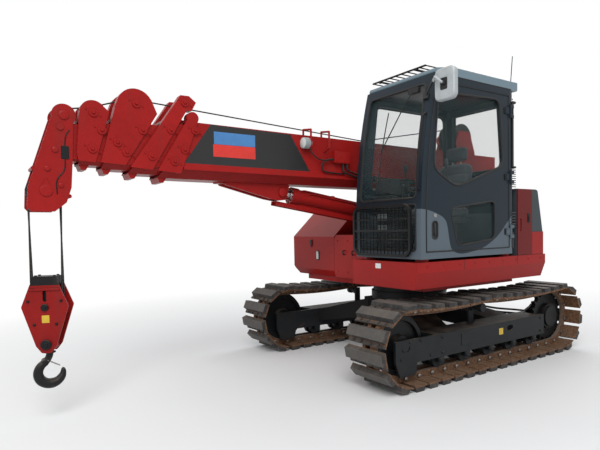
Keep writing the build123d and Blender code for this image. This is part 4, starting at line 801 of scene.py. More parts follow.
glass, shader = blank("tinted glass", "glass", Roughness=0.03, Alpha=0.10, IOR=1.5)
place = here(shader)
film = span(noise(place, 3.0, 4.0), 0.35, 0.75)
feed(shader, Base_Color=mix_colour(film, (0.060, 0.105, 0.105, 1), (0.100, 0.150, 0.145, 1)))
bump(shader, noise(place, 1.5, 1.0), 0.02, 0.002)

mirror_glass, shader = blank("mirror glass", "steel", Metallic=1.0, Roughness=0.04)
feed(shader, Base_Color=mix_colour(noise(here(shader), 6.0), (0.70, 0.73, 0.74, 1),
                                   (0.80, 0.82, 0.83, 1)))

lamp_lens, screen_glow, white_label, yellow_label, sign_black, sign_blue, sign_red = (
    plain_gloss(*row) for row in (
        ("lamp lens", (0.62, 0.64, 0.62), 0.12), ("display green", (0.05, 0.30, 0.27), 0.2),
        ("white label", (0.72, 0.72, 0.70), 0.4), ("yellow label", (0.62, 0.42, 0.03), 0.45),
        ("sign black", (0.006, 0.006, 0.007), 0.3), ("sign blue", (0.055, 0.20, 0.46), 0.3),
        ("sign red", (0.66, 0.028, 0.018), 0.3)))

# %% [markdown]
# ## Dress the solid parts
#
# Each solid keeps its shape and only swaps its material. The table names the finish and
# the parts that wear it. The floor is pale, and fades into even white further out.

# %% Paint the parts
floor_finish, shader = blank("studio floor", None, Roughness=0.9)
place = here(shader)
feed(shader, Base_Color=mix_colour(noise(place, 0.6), (0.86, 0.86, 0.86, 1),
                                   (0.90, 0.90, 0.90, 1)))
flat_place = step(shader, "VectorMath", {0: place, 1: (1.0, 1.0, 0.0)}, operation="MULTIPLY")
reach = step(shader, "VectorMath", {0: flat_place.outputs[0]}, operation="LENGTH")
far_off = times(span(reach.outputs["Value"], 2.4, 6.5), seen_directly(shader))
glow = step(shader, "Emission", {"Color": (1, 1, 1, 1), "Strength": 1.0})
fade = step(shader, "MixShader", {0: far_off, 1: shader.outputs[0], 2: glow.outputs[0]})
feed(floor_finish.node_tree.nodes["Material Output"], Surface=fade.outputs[0])
floor_mesh.materials.append(floor_finish)

WEARS = (
    (boom_red, "boom_base boom_section_2 boom_section_3 boom_section_4 boom_head luff_barrel "
               "swing_frame winch_frame"),
    (house_red, "counterweight left_skirt centre_panel tool_box tool_box_lid"),
    (door_red_painted_shade, "service_door"), (housing_red, "right_housing"), (block_red, "hook_block"),
    (cab_paint, "cab_frame cab_door"), (roof_paint, "cab_roof"),
    (hood_paint, "engine_hood engine_bay"), (frame_paint, "track_frame_left track_frame_right"),
    (body_paint, "car_body slewing_ring engine"), (track_finish, "track_left track_right"),
    (black_steel, "idler_left idler_right sprocket_left sprocket_right screen_guard roof_visor "
                  "winch_drum head_sheaves nose_sheave block_sheaves"),
    (hook_steel, "hook"), (chrome, "luff_rod"), (rope_steel, "rope_falls"),
    (glass, "windscreen_upper windscreen_lower door_glass_upper door_glass_lower "
            "cab_side_glass cab_rear_glass"),
    (seat_base, "seat"), (plastic, "console"), (mirror_shell, "mirror_left"),
)
for finish, worn_by in WEARS:
    for name in worn_by.split():
        nodes[name].data.materials.clear()
        nodes[name].data.materials.append(finish)
print("dressed:", sum(len(worn_by.split()) for _, worn_by in WEARS))

# %% [markdown]
# ## Window seals
#
# A cab window sits in a black rubber section that hides the cut edge of the sheet. The
# section is a circle carried round the window's outline. The outlines are the openings'
# own corner points, so the rubber follows the glass.

# %% Outlines and seals of the flat windows
AHEAD, UP = (1, 0, 0), (0, 0, 1)
BEND_Z, BEND_R = 1.300, 4.875
frame_low, frame_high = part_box("cab_frame")
CAB_NOSE, CAB_INNER_Y = frame_high.x, frame_low.y
SIDE_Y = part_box("service_door")[1].y
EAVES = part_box("cab_roof")[0].z


def front_at(z):
    """How far forward the cab's front stands at a height: upright, then a large circle."""
    rise = np.maximum(np.asarray(z, float) - BEND_Z, 0)
    return CAB_NOSE - BEND_R + np.sqrt(BEND_R ** 2 - rise ** 2)


def seal(outline, y, radius, sides=8):
    """A seal round a side window: the outline of (x, z) points set at a width y."""
    return tube(at(outline[:, 0], y, outline[:, 1]), radius, sides, closed=True, ref=LEFT)


door_upper = rounded(((0.525, 1.637), (0.7997, 1.776), (0.7363, 2.400), (-0.060, 2.440),
                      (-0.110, 1.850)), 0.085, 7)
door_lower = rounded(((0.515, 1.140), (0.605, 1.460), (0.010, 1.530), (0.010, 1.190)), 0.065, 7)
side_pane = rounded(((-0.240, 1.650), (front_at(1.650) - 0.130, 1.650),
                     (front_at(2.440) - 0.115, 2.440), (-0.240, 2.440)), 0.075, 7)
put("door_seals", [seal(door_upper, SIDE_Y - 0.003, 0.011),
                   seal(door_lower, SIDE_Y - 0.003, 0.009)], rubber, "cab_door")
put("side_seal", seal(side_pane, CAB_INNER_Y + 0.003, 0.011), rubber, "upper")

# %% Seals of the curved front and of the rear pane
PILLARS = (CAB_INNER_Y + 0.060, SIDE_Y - 0.060)
SEAL_STEP = 0.06


def front_seal(pane, radius, round_by):
    """A seal round a front opening: a rounded rectangle laid on the curved front."""
    low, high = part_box(pane)
    outline = box_outline(PILLARS, (low.z, high.z), round_by, 6)
    rows = [outline[0]]
    for start, end in zip(outline, np.roll(outline, -1, 0)):
        count = max(2, int(np.linalg.norm(end - start) / SEAL_STEP) + 1)
        rows.extend(start + (end - start) * t for t in np.linspace(0, 1, count)[1:])
    y, z = np.array(rows[:-1]).T
    return tube(at(front_at(z) - 0.004, y, z), radius, closed=True, ref=AHEAD)


rear_low, rear_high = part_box("cab_rear_glass")
rear_x, rear_y = rear_low.x - 0.012, SIDE_Y + 0.001
corner = bent(((rear_x, rear_low.y, 0), (rear_x, rear_y, 0), (rear_high.x + 0.001, rear_y, 0)),
              0.10, 9)
bottom_edge = corner + (0, 0, rear_low.z)
top_edge = corner[::-1] + (0, 0, rear_high.z)
put("front_seals", [front_seal("windscreen_lower", 0.010, 0.03),
                    front_seal("windscreen_upper", 0.011, 0.05)], rubber, "upper")
put("rear_seal", [tube(bottom_edge, 0.010, ref=UP), tube(top_edge, 0.010, ref=UP),
                  tube((bottom_edge[0], top_edge[-1]), 0.010),
                  tube((bottom_edge[-1], top_edge[0]), 0.010)], rubber, "upper")

# %% [markdown]
# ## Door furniture
#
# The door opens with a pull in a sunk cup, under a small round lock. The cup is a dark
# plastic tray, the pull a bent bar across it. A rubber strip runs round the leaf.

# %% Handle, lock and door strip
HANDLE_X, HANDLE_Z = 0.790, 1.280
DOOR_IN, DOOR_REAR, DOOR_FOOT = 0.060, -0.195, 1.105
cup = box_outline(about(HANDLE_X, 0.034), about(HANDLE_Z, 0.074), 0.034, 8)
pull = np.array(((-0.006, -0.011, 0.055), (0.004, 0.006, 0.045), (0.004, 0.006, -0.030),
                 (-0.006, -0.011, -0.045))) + (HANDLE_X, SIDE_Y, HANDLE_Z)
put("door_handle", [seal(cup, SIDE_Y, 0.0045),
                    slab(inset(cup, 0.002), "y", (SIDE_Y - 0.0135, SIDE_Y - 0.009), 0.001),
                    hose(pull, 0.012, 0.008)], plastic, "cab_door")
put("door_lock", turned(((0.017, -0.004), (0.017, 0.003), (0.013, 0.006), (0.0125, 0.006),
                         (0.006, 0.0045)), (HANDLE_X - 0.005, SIDE_Y, HANDLE_Z + 0.118),
                        LEFT, 20), dull_steel, "cab_door")
edge_z = np.linspace(BEND_Z, EAVES - DOOR_IN, 14)
door_line = np.vstack([[(DOOR_REAR, DOOR_FOOT), (front_at(1.0) - DOOR_IN, DOOR_FOOT)],
                       np.stack([front_at(edge_z) - DOOR_IN, edge_z], axis=1),
                       [(DOOR_REAR, EAVES - DOOR_IN)]])
put("door_strip", seal(door_line, SIDE_Y + 0.001, 0.0055, 6), rubber, "cab_door")

# %% [markdown]
# ## Vents, wiper and rails on the cab
#
# Behind the door the cab has a slot and two stacks of short louvres for the air
# conditioner. A louvre is a thin slab, repeated by a short range of heights.

# %% Vents and slot
VENT_X = -0.262
louvres = [plate("y", (VENT_X - back, VENT_X + ahead), (z, z + thick),
                 (SIDE_Y - 0.004, SIDE_Y + out), round_by, 0.001, 2)
           for heights, back, ahead, thick, out, round_by in (
               (np.linspace(1.660, 1.815, 9), 0.034, 0.030, 0.007, 0.006, 0.003),
               (np.linspace(1.290, 1.420, 6), 0.030, 0.034, 0.010, 0.005, 0.004))
           for z in heights]
slot = plate("y", (VENT_X, VENT_X + 0.014), (1.095, 1.245), (SIDE_Y - 0.003, SIDE_Y + 0.0015),
             0.006, 0.0008)
put("cab_louvres", louvres + [slot], plastic, "upper")

# %% Wiper and grab rail
blade_z = np.linspace(1.62, 2.30, 12)
blade = at(front_at(blade_z) + 0.010, np.linspace(0.60, 0.66, 12), blade_z)
arm = [(front_at(z) + out, y, z)
       for out, y, z in ((0.020, 0.94, 2.43), (0.030, 0.86, 2.30), (0.022, 0.63, 1.96))]
nose_x = front_at(2.455)
put("wiper", [tube(blade, 0.006, 6, flat=0.6), hose(arm, 0.05, 0.005),
              plate("x", (0.88, 1.00), (2.41, 2.455), (nose_x - 0.002, nose_x + 0.030), 0.01)],
    rubber, "upper")

rail_z = np.array((1.60, *np.linspace(1.62, 2.20, 8), 2.22))
stand_off = np.array((-0.004, *[0.030] * 8, -0.004))
put("grab_rail", hose(at(front_at(rail_z) + stand_off, SIDE_Y - 0.020, rail_z), 0.02, 0.009,
                      sides=10), black_steel, "upper")

# %% [markdown]
# ## Screen guard mesh
#
# The guard's frame and main rods are solid parts. The fine wires between them are too
# many to draw one by one, so all of their end points come from two number ranges.

# %% Guard wires and cross bars
WIRE_R = 0.0016
guard_low, guard_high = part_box("screen_guard")
guard_x = guard_high.x - 0.012
wire_z = np.arange(guard_low.z + 0.045, guard_high.z - 0.020, 0.0255)
edge_in = np.where(wire_z < guard_low.z + 0.075, 0.050, 0.018)
wire_y = np.arange(guard_low.y + 0.046, guard_high.y - 0.040, 0.0231)
wire_feet = at(guard_x + 0.004, wire_y, guard_low.z + 0.018)
put("guard_mesh", [
    many_rods(at(guard_x, guard_low.y + edge_in, wire_z),
              at(guard_x, guard_high.y - edge_in, wire_z), WIRE_R),
    many_rods(wire_feet, wire_feet + (0, 0, guard_high.z - guard_low.z - 0.036), WIRE_R)]
    + [brick((guard_x - 0.004, guard_x + 0.006), (guard_low.y + 0.012, guard_high.y - 0.012),
             (z, z + 0.010)) for z in (guard_low.z + 0.14, guard_high.z - 0.13)],
    black_steel, "upper")

# %% [markdown]
# ## Mirror and roof rack
#
# A mirror is a bowl of plastic with a flat glass let into it and a rubber rim round it.
# The rack's rods are clamped with small saddles.

# %% Mirror face and rack clamps
SHELL_Y, SHELL_Z = 1.325, 2.395
face = box_outline(about(SHELL_Y, 0.088), about(SHELL_Z, 0.110), 0.038, 7)
put("mirror_face", slab(face, "x", (0.848, 0.8515), 0.001), mirror_glass, "upper")
put("mirror_rim", tube(at(0.851, *face.T), 0.006, closed=True, ref=AHEAD), rubber, "upper")
put("mirror_knuckle", [
    turned(((0.012, -0.018), (0.018, -0.014), (0.018, 0.014), (0.012, 0.018)),
           (0.900, SHELL_Y, SHELL_Z + 0.004), LEFT, 20),
    plate("x", about(SHELL_Y, 0.035), about(SHELL_Z, 0.045), (0.890, 0.898), 0.012)],
    rubber, "upper")
rack_low, rack_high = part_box("roof_visor")
put("rack_clamps", [brick(about(x, 0.012), about(y, 0.014),
                          (rack_high.z - 0.026, rack_high.z - 0.004))
                    for x in (rack_low.x + 0.008, rack_high.x - 0.008)
                    for y in (rack_low.y + 0.11, rack_high.y - 0.11)], black_steel, "upper")

# %% [markdown]
# ## The operator's cushions
#
# A cushion is a rounded box whose faces swell and whose seams pull in. Its points come
# from two angles: powers of sine and cosine below one make the corners full, and a
# narrow dip across the top is a sewn channel. The cloth gets a weave along its own X, Y
# and Z, because a cushion has no one flat side.

# %% Woven cloth and cushion forms
seat_cloth, shader = blank("seat cloth", "seat_trim", Sheen_Weight=0.25, Sheen_Roughness=0.4)
weave = step(shader, "TexWave", {"Vector": here(shader), "Scale": 260.0, "Distortion": 1.5},
             bands_direction="DIAGONAL").outputs[1]
cloth = vary(shader, (0.035, 0.042, 0.052, 1), 0.25, 5.0)
settle(shader, mix_colour(times(weave, 0.35), cloth, (0.10, 0.11, 0.12, 1)), 0.85, 0.25)
bump(shader, weave, 0.5, 0.0008)
RINGS, AROUND = 33, 72


def power(wave, strength):
    """A sine or cosine raised to a power with its sign kept."""
    return np.sign(wave) * np.abs(wave) ** strength


def leant(points, lean):
    """Turns points about Y through the origin by an angle."""
    c, s = math.cos(lean), math.sin(lean)
    return points @ np.array([(c, 0, -s), (0, 1, 0), (s, 0, c)])


def cushion(centre, half, lean=0.0, crown=0.10):
    """A stuffed form: half sizes times powered sines and cosines of two angles, swollen on
    top by the crown, and leant about Y."""
    v = np.linspace(-np.pi / 2 + 0.02, np.pi / 2 - 0.02, RINGS)[:, None]
    u = np.linspace(-np.pi, np.pi, AROUND, endpoint=False)[None]
    x = power(np.cos(v), 0.32) * power(np.cos(u), 0.34)
    y = power(np.cos(v), 0.32) * power(np.sin(u), 0.34)
    z = power(np.sin(v), 0.45) * np.ones_like(u)
    z = z * (1 + crown * (1 - x ** 2) * (1 - y ** 2)) * (1 - 0.035 * (1 - x ** 4) * (1 - y ** 4))
    flat = np.stack([x * half[0], y * half[1], z * half[2]], axis=-1).reshape(-1, 3)
    return skin((leant(flat, lean) + np.asarray(centre)).reshape(RINGS, AROUND, 3))


def read_points(mesh):
    """A mesh's points as rows of x, y, z."""
    flat = np.empty(len(mesh.vertices) * 3)
    mesh.vertices.foreach_get("co", flat)
    return flat.reshape(-1, 3)


# %% [markdown]
# Stuffing swells a cover until the cloth is tight. So each cushion is remeshed evenly and
# blown up from inside by Blender's Cloth with gravity off, for a few frames, and no point
# may go further than a cap. The sewn channels are pressed in afterwards, because a
# remesh would blur them.

# %% Swelling and sewing
CLOTH_FRAMES, VOXEL, PRESSURE = 18, 0.006, 4.0
SEAM_DEEP, SEAM_WIDE, SEAM_FROM = 0.15, 0.04, 0.3


def swell(piece, cap):
    """Cloth under pressure: new place = old place + movement, held to the cap's length."""
    stage = bpy.context.scene
    double = in_scene(bpy.data.objects.new("swelling", piece.data.copy()))
    even = double.modifiers.new("even", "REMESH")
    even.mode, even.voxel_size = "VOXEL", VOXEL
    graph = bpy.context.evaluated_depsgraph_get()
    mesh = bpy.data.meshes.new_from_object(double.evaluated_get(graph))
    double.modifiers.clear()
    double.data = mesh
    before = read_points(mesh)
    cloth = double.modifiers.new("cloth", "CLOTH")
    cloth.settings.use_pressure = True
    cloth.settings.uniform_pressure_force = PRESSURE
    cloth.settings.effector_weights.gravity = 0
    cloth.point_cache.frame_start, cloth.point_cache.frame_end = 1, CLOTH_FRAMES
    for moment in range(1, CLOTH_FRAMES + 1):
        stage.frame_set(moment)
    graph = bpy.context.evaluated_depsgraph_get()
    moved = read_points(double.evaluated_get(graph).data) - before
    far = np.maximum(np.linalg.norm(moved, axis=1, keepdims=True), 1e-9)
    mesh.vertices.foreach_set("co", (before + moved * np.minimum(1, cap / far)).ravel())
    bpy.data.objects.remove(double)
    stage.frame_set(1)
    mesh.materials.clear()
    mesh.materials.append(piece.data.materials[0])
    mesh.polygons.foreach_set("use_smooth", np.ones(len(mesh.polygons), bool))
    piece.data = mesh


def sew(piece, centre, half, lean, dips, way):
    """Presses sewn channels into both faces: a narrow bell-shaped dent at each dip."""
    local = leant(read_points(piece.data) - np.asarray(centre), -lean) / np.asarray(half)
    side = np.sign(local[:, 2]) * (np.abs(local[:, 2]) > SEAM_FROM)
    for dip in dips:
        local[:, 2] -= SEAM_DEEP * np.exp(-((local[:, way] - dip) / SEAM_WIDE) ** 2) * side
    sewn = leant(local * np.asarray(half), lean) + np.asarray(centre)
    piece.data.vertices.foreach_set("co", sewn.ravel())
    piece.data.update()


# %% Cushions, stalks, base and armrests
seat_low, seat_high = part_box("seat")
seat_y = (seat_low.y + seat_high.y) / 2
ARM_PLACES = (seat_low.y + 0.024, seat_high.y - 0.024)
CAB_FLOOR = 1.090
# Name, centre, half sizes as it lies flat, lean, channels, the way they are counted (0 for X,
# 1 for Y), cap on the swelling. A lean past a quarter turn stands a cushion up, tipped back.
UPRIGHT = -math.radians(98)
CUSHIONS = (
    ("seat_cushion", (0.280, seat_y, 1.432), (0.238, 0.208, 0.046), 0.03, (-0.45, 0.0, 0.45),
     0, 0.008),
    ("seat_back", (0.068, seat_y, 1.675), (0.230, 0.198, 0.045), UPRIGHT, (-0.5, 0.0, 0.5),
     0, 0.008),
    ("seat_headrest", (0.022, seat_y, 1.990), (0.066, 0.118, 0.034), UPRIGHT, (0.0,), 1, 0.006),
)
for name, centre, half, lean, dips, way, cap in CUSHIONS:
    cover = put(name, cushion(centre, half, lean), seat_cloth, "upper")
    swell(cover, cap)
    sew(cover, centre, half, lean, dips, way)
    smoother = cover.modifiers.new("smoother", "SUBSURF")
    smoother.levels = smoother.render_levels = 1
    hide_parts("seat")
    print(name, "faces:", len(cover.data.polygons))

stalk_y = seat_y + np.array((-0.05, 0.05))
put("headrest_stalks", many_rods(at(0.026, stalk_y, 1.90), at(0.018, stalk_y, 1.95), 0.007, 10),
    dull_steel, "upper")
base_parts = [plate("z", x, (seat_low.y + side, seat_high.y - side), z, radius, bevel)
              for x, side, z, radius, bevel in (
                  ((0.10, 0.44), 0.08, (CAB_FLOOR, CAB_FLOOR + 0.030), 0.03, 0.004),
                  ((0.13, 0.41), 0.11, (CAB_FLOOR + 0.030, 1.340), 0.05, 0.01),
                  ((0.08, 0.50), 0.06, (1.335, 1.390), 0.03, 0.006))]
folds = turned([(0.15 + 0.015 * (fold % 2), 0.02 * fold) for fold in range(7)],
               (0.27, seat_y, 1.18), UP, 32)
base = put("seat_base", base_parts + [folds], seat_base, "upper")
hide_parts("seat")
for side, y in zip(("right", "left"), ARM_PLACES):
    arm = put(f"armrest_{side}", cushion((0.235, y, 1.675), (0.165, 0.022, 0.020), 0.0, 0.05),
              seat_base, "upper")
    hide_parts("seat")

# %% [markdown]
# ## Boom furniture
#
# The boom lies half a degree above level, so its details are placed along it and across
# it from the foot pin and turned into world places by one small rotation. Each section
# slides, so every bolt rides on the section that it holds.

# %% Places on the boom
FOOT = np.array((-1.180, 0.0, 1.897))
TILT = math.radians(0.5)
ALONG = np.array((math.cos(TILT), 0, math.sin(TILT)))
ACROSS = np.array((-math.sin(TILT), 0, math.cos(TILT)))


def on_boom(s, y, t):
    """World place of a point s along the boom, y to the left and t above its centre line."""
    return FOOT + at(s, y, t) @ np.array((ALONG, LEFT, ACROSS))


def boom_slab(outline, span_y, bevel=0.0015):
    """A slab whose outline is drawn in the boom's own side view."""
    points, faces = slab(outline, "y", span_y, bevel)
    return on_boom(*points.T), faces


def boom_plate(along, up, span_y, radius, bevel=0.0015):
    """A rectangular slab in the boom's own side view."""
    return boom_slab(box_outline(along, up, radius), span_y, bevel)


def boom_hose(corners, radius):
    """A hose whose corner points are given along, left of and across the boom."""
    return hose(on_boom(*np.array(corners).T), 0.05, radius, 7)


def middle_of(name):
    """The middle of a solid part's box."""
    low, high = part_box(name)
    return np.array((low + high) / 2)


# %% Collar bolts
# Section, half width over the bosses, then the bosses along and across the boom. Every
# boss has one large bolt in its middle and two small ones beside it.
COLLAR_BOLTS = (
    ("boom_base", 0.193, ((3.606, 0.150), (3.771, -0.096), (3.692, -0.002))),
    ("boom_section_2", 0.171, ((3.788, 0.142), (3.932, -0.066), (3.676, 0.358))),
    ("boom_section_3", 0.149, ((3.988, 0.122), (4.106, -0.048), (4.030, 0.310),
                               (4.167, 0.018))),
    ("boom_section_4", 0.127, ((4.264, 0.097), (4.330, -0.038), (4.318, 0.214))),
)
BESIDE = np.array((0.4, 0.4 + np.pi))
BESIDE_R, BOSS_RISE = 0.052, 0.0095
for number, (section, half, bosses) in enumerate(COLLAR_BOLTS, 1):
    s, t = np.array(bosses).T
    small_s = (s[:, None] + BESIDE_R * np.cos(BESIDE)).ravel()
    small_t = (t[:, None] + BESIDE_R * np.sin(BESIDE)).ravel()
    heads = []
    for side in (-1, 1):
        heads += [hex_bolts(on_boom(s, side * half, t), (0, side, 0), 0.013, 0.010),
                  hex_bolts(on_boom(small_s, side * (half - BOSS_RISE), small_t), (0, side, 0),
                            0.007, 0.006)]
    put(f"collar_bolts_{number}", heads, boom_red, section)

# %% [markdown]
# A sign panel of thin sheet lies on the cab side of the base section: a black field, and
# in its front part a blue field over a red one, all left blank.

# %% Sign panel
SIGN_Y = 0.170
PANEL = ((2.292, 2.141), (1.561, 2.129), (1.345, 1.789), (2.526, 1.811))
put("sign_panel", slab(PANEL, "y", (SIGN_Y - 0.0005, SIGN_Y + 0.0015), 0.0004), sign_black,
    "boom_base")
for name, x, z, paint in (("sign_blue_field", (1.905, 2.268), (1.992, 2.090), sign_blue),
                          ("sign_red_field", (1.905, 2.276), (1.893, 1.990), sign_red)):
    put(name, plate("y", x, z, (SIGN_Y + 0.001, SIGN_Y + 0.0024), 0.004, 0.0003, 3), paint,
        "boom_base")

# %% [markdown]
# ## Work lamp, valve box and hoses on the boom
#
# A lamp is a bowl with a domed glass. Hoses leave the valve box in easy curves, because a
# hose under pressure won't take a sharp bend.

# %% Lamp, box lid and hoses
lamp_place = on_boom(2.608, 0.212, 0.140)
for name, profile, finish in (
        ("boom_lamp_lens", ((0.040, 0.020), (0.0455, 0.024), (0.0455, 0.036), (0.040, 0.0385),
                            (0.028, 0.043), (0.012, 0.0455)), lamp_lens),
        ("boom_lamp_bowl", ((0.030, -0.048), (0.042, -0.034), (0.0485, -0.020),
                            (0.0485, 0.030), (0.0465, 0.030)), pale_grey)):
    put(name, turned(profile, lamp_place, ALONG, 28), finish, "boom_base")

lid_bolts = on_boom([2.138, 2.282] * 2, 0.2183, [0.006, 0.006, 0.084, 0.084])
put("valve_lid", [boom_plate((2.128, 2.292), (-0.004, 0.094), (0.2155, 0.2185), 0.006),
                  hex_bolts(lid_bolts, LEFT, 0.006, 0.005)]
    + [boom_plate((s, s + 0.008), (0.022, 0.068), (0.217, 0.2195), 0.003, 0.0006)
       for s in (2.170, 2.190, 2.230, 2.250)], boom_red, "boom_base")
put("valve_hoses", [boom_hose(corners, radius) for corners, radius in (
    (((2.150, 0.195, -0.010), (2.150, 0.200, -0.070), (1.980, 0.196, -0.115),
      (1.500, 0.188, -0.125), (0.700, 0.186, -0.120)), 0.009),
    (((2.190, 0.195, -0.010), (2.200, 0.202, -0.090), (1.990, 0.194, -0.140),
      (1.500, 0.186, -0.148), (0.700, 0.184, -0.144)), 0.009),
    (((2.290, 0.200, 0.020), (2.380, 0.205, 0.010), (2.440, 0.200, -0.030),
      (2.420, 0.190, -0.095), (2.230, 0.188, -0.105), (2.170, 0.186, -0.100)), 0.007),
    (((2.570, 0.205, 0.115), (2.540, 0.215, 0.040), (2.440, 0.200, 0.000),
      (2.290, 0.196, 0.030)), 0.006))], hose_rubber, "boom_base")
put("hose_clips", [boom_plate((s, s + 0.022), (-0.162, -0.104), (0.1695, 0.199), 0.004)
                   for s in (0.900, 1.350, 1.800)], black_steel, "boom_base")

# %% [markdown]
# ## Hoist rope along the boom
#
# The rope leaves the drum, passes over a roller on the boom's back and runs to the discs
# between the collars' ears and on to the nose sheave. Each straight run joins two
# sections that slide apart; the table names both bodies, but the run stays fixed and rides
# on neither.

# %% Rope runs
ROPE_R, DRUM_R, NOSE_R = 0.0055, 0.1155, 0.057
ROLLER_S, GUIDE_S, EAR_3_S = 1.800, 3.676, 4.035
roller_place = on_boom(ROLLER_S, 0.0, 0.240)
roller_top = roller_place + 0.022 * ACROSS
ear_3 = on_boom(EAR_3_S, 0.0, 0.290 + 0.0762 + 0.006)
ear_4 = on_boom(4.318, 0.0, 0.214 + 0.0516 + 0.006)
drum = middle_of("winch_drum")
nose = middle_of("nose_sheave")
nose_top = at(nose[0], 0.0, nose[2] + NOSE_R)
put("rope_from_drum", tube((at(drum[0] + 0.004, 0.0, drum[2] + DRUM_R), roller_top), ROPE_R),
    rope_steel, "boom_base")
guide_top = roller_top + (GUIDE_S - ROLLER_S) / (EAR_3_S - ROLLER_S) * (ear_3 - roller_top)
RUNS = (("rope_run_1", roller_top, guide_top, "boom_base", "boom_section_2"),
        ("rope_run_2", guide_top, ear_3, "boom_section_2", "boom_section_3"),
        ("rope_run_3", ear_3, ear_4, "boom_section_3", "boom_section_4"),
        ("rope_run_4", ear_4, nose_top, "boom_section_4", "boom_head"))
for name, start, end, from_body, to_body in RUNS:
    run = put(name, tube(np.linspace(start, end, 9), ROPE_R), rope_steel, None)
    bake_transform(run)
a = np.linspace(0, np.pi / 2, 9)
head_low, head_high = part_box("head_sheaves")
over_nose = np.vstack([nose + NOSE_R * at(np.sin(a), 0.0, np.cos(a)),
                       [(head_high.x - 0.012, 0.0, middle_of("head_sheaves")[2])]])
put("rope_over_nose", tube(over_nose, ROPE_R), rope_steel, "boom_head")

# %% Roller, guide and the rope wound on the drum
roller = turned(((0.010, -0.060), (0.026, -0.058), (0.026, -0.050), (0.016, -0.046),
                 (0.016, 0.046), (0.026, 0.050), (0.026, 0.058), (0.010, 0.060)),
                roller_place, LEFT)
CHEEK = ((1.765, 0.2165), (1.835, 0.2165), (1.815, 0.262), (1.785, 0.262))
put("rope_roller", [roller] + [boom_slab(CHEEK, about(y, 0.004)) for y in (-0.068, 0.068)],
    black_steel, "boom_base")
put("rope_guide", turned(((0.008, -0.094), (0.008, -0.022), (0.018, -0.020), (0.012, -0.012),
                          (0.012, 0.012), (0.018, 0.020), (0.008, 0.022), (0.008, 0.094)),
                         guide_top - 0.018 * ACROSS, LEFT, 20), black_steel, "boom_section_2")
WINDINGS, WOUND_HALF = 14, 0.088
a = np.linspace(0, 2 * np.pi * WINDINGS, 32 * WINDINGS)
coil = at(drum[0] + DRUM_R * np.cos(a), np.linspace(-WOUND_HALF, WOUND_HALF, len(a)),
          drum[2] + DRUM_R * np.sin(a))
put("wound_rope", tube(coil, 0.0062, 6, ref=LEFT), rope_steel, "winch_drum")

# %% [markdown]
# ## Boom head
#
# The head's plates carry the pins of the sheaves with round keepers, a limit switch and
# its cable. Pins are capped by turned washers.

# %% Head pins, switch and cable
head_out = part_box("boom_head")[1].y
# Along the boom, across it, radius.
HEAD_PINS = ((4.622, -0.338, 0.040), (4.501, 0.180, 0.032), (4.560, -0.060, 0.020),
             (4.610, -0.190, 0.018), (4.530, -0.300, 0.016))
put("head_caps", [turned(((radius, -0.003), (radius, 0.005), (radius * 0.72, 0.008),
                          (radius * 0.4, 0.008)), on_boom(s, side * (head_out - 0.006), t),
                         (0, side, 0), 20)
                  for side in (-1, 1) for s, t, radius in HEAD_PINS], boom_red, "boom_head")
switch_y = head_out - 0.004
cables = (((4.500, -0.004, -0.120), (4.502, -0.002, -0.200), (4.560, -0.002, -0.260),
           (4.555, -0.002, -0.360)),
          ((4.500, -0.004, -0.030), (4.495, -0.002, 0.040), (4.470, -0.002, 0.080)))
put("head_switch", [boom_plate((4.475, 4.525), (-0.120, -0.030), (switch_y - 0.016, switch_y),
                               0.006)]
    + [boom_hose(np.array(cable) + (0, switch_y, 0), 0.004) for cable in cables],
    black_steel, "boom_head")

# %% [markdown]
# ## Luffing cylinder
#
# The barrel carries its oil in two steel pipes held by saddles, and the gland is closed by
# a ring of bolts. The rod's pin has a cap and a lock plate at each end.

# %% Cylinder pipes, gland and pin caps
CYL_FOOT = np.array((-0.972, 0.0, 1.203))
ROD_EYE = np.array((1.592, 0.0, 1.632))
CYL_AHEAD = unit(ROD_EYE - CYL_FOOT)
CYL_UP = np.array((-CYL_AHEAD[2], 0, CYL_AHEAD[0]))


def on_cylinder(d, y, h):
    """A place d up the cylinder from its foot pin, y to the left and h above its line."""
    return CYL_FOOT + at(d, y, h) @ np.array((CYL_AHEAD, LEFT, CYL_UP))


pipes = [hose(on_cylinder((0.250, 0.290, reach, reach + 0.040), y,
                          h + np.array((-0.030, 0, 0, -0.030))), 0.03, 0.007)
         for y, h, reach in ((0.050, 0.064, 2.380), (0.066, 0.046, 2.300))]
saddle, saddle_faces = brick((-0.014, 0.014), (0.036, 0.077), (0.040, 0.073))
saddles = [(on_cylinder(d + saddle[:, 0], saddle[:, 1], saddle[:, 2]), saddle_faces)
           for d in (0.55, 1.05, 1.55, 2.05)]
put("cylinder_pipes", pipes + saddles, boom_red, "luff_barrel")
a = np.linspace(0, 2 * np.pi, 10, endpoint=False)
put("gland_bolts", [
    hex_bolts(on_cylinder(2.4836, 0.060 * np.cos(a), 0.060 * np.sin(a)), CYL_AHEAD, 0.006,
              0.006),
    tube(on_cylinder(2.487, 0.045 * np.cos(a), 0.045 * np.sin(a)), 0.004, 6, closed=True,
         ref=CYL_AHEAD)], dull_steel, "luff_barrel")
caps = []
for side in (-1, 1):
    caps += [turned(((0.040, -0.003), (0.040, 0.004), (0.034, 0.008), (0.012, 0.008)),
                    ROD_EYE + side * 0.081 * LEFT, (0, side, 0), 28),
             boom_plate((2.7445, 2.7945), (-0.262, -0.240), (side * 0.0665, side * 0.0735),
                        0.004)]
put("rod_pin_caps", caps, boom_red, "boom_base")
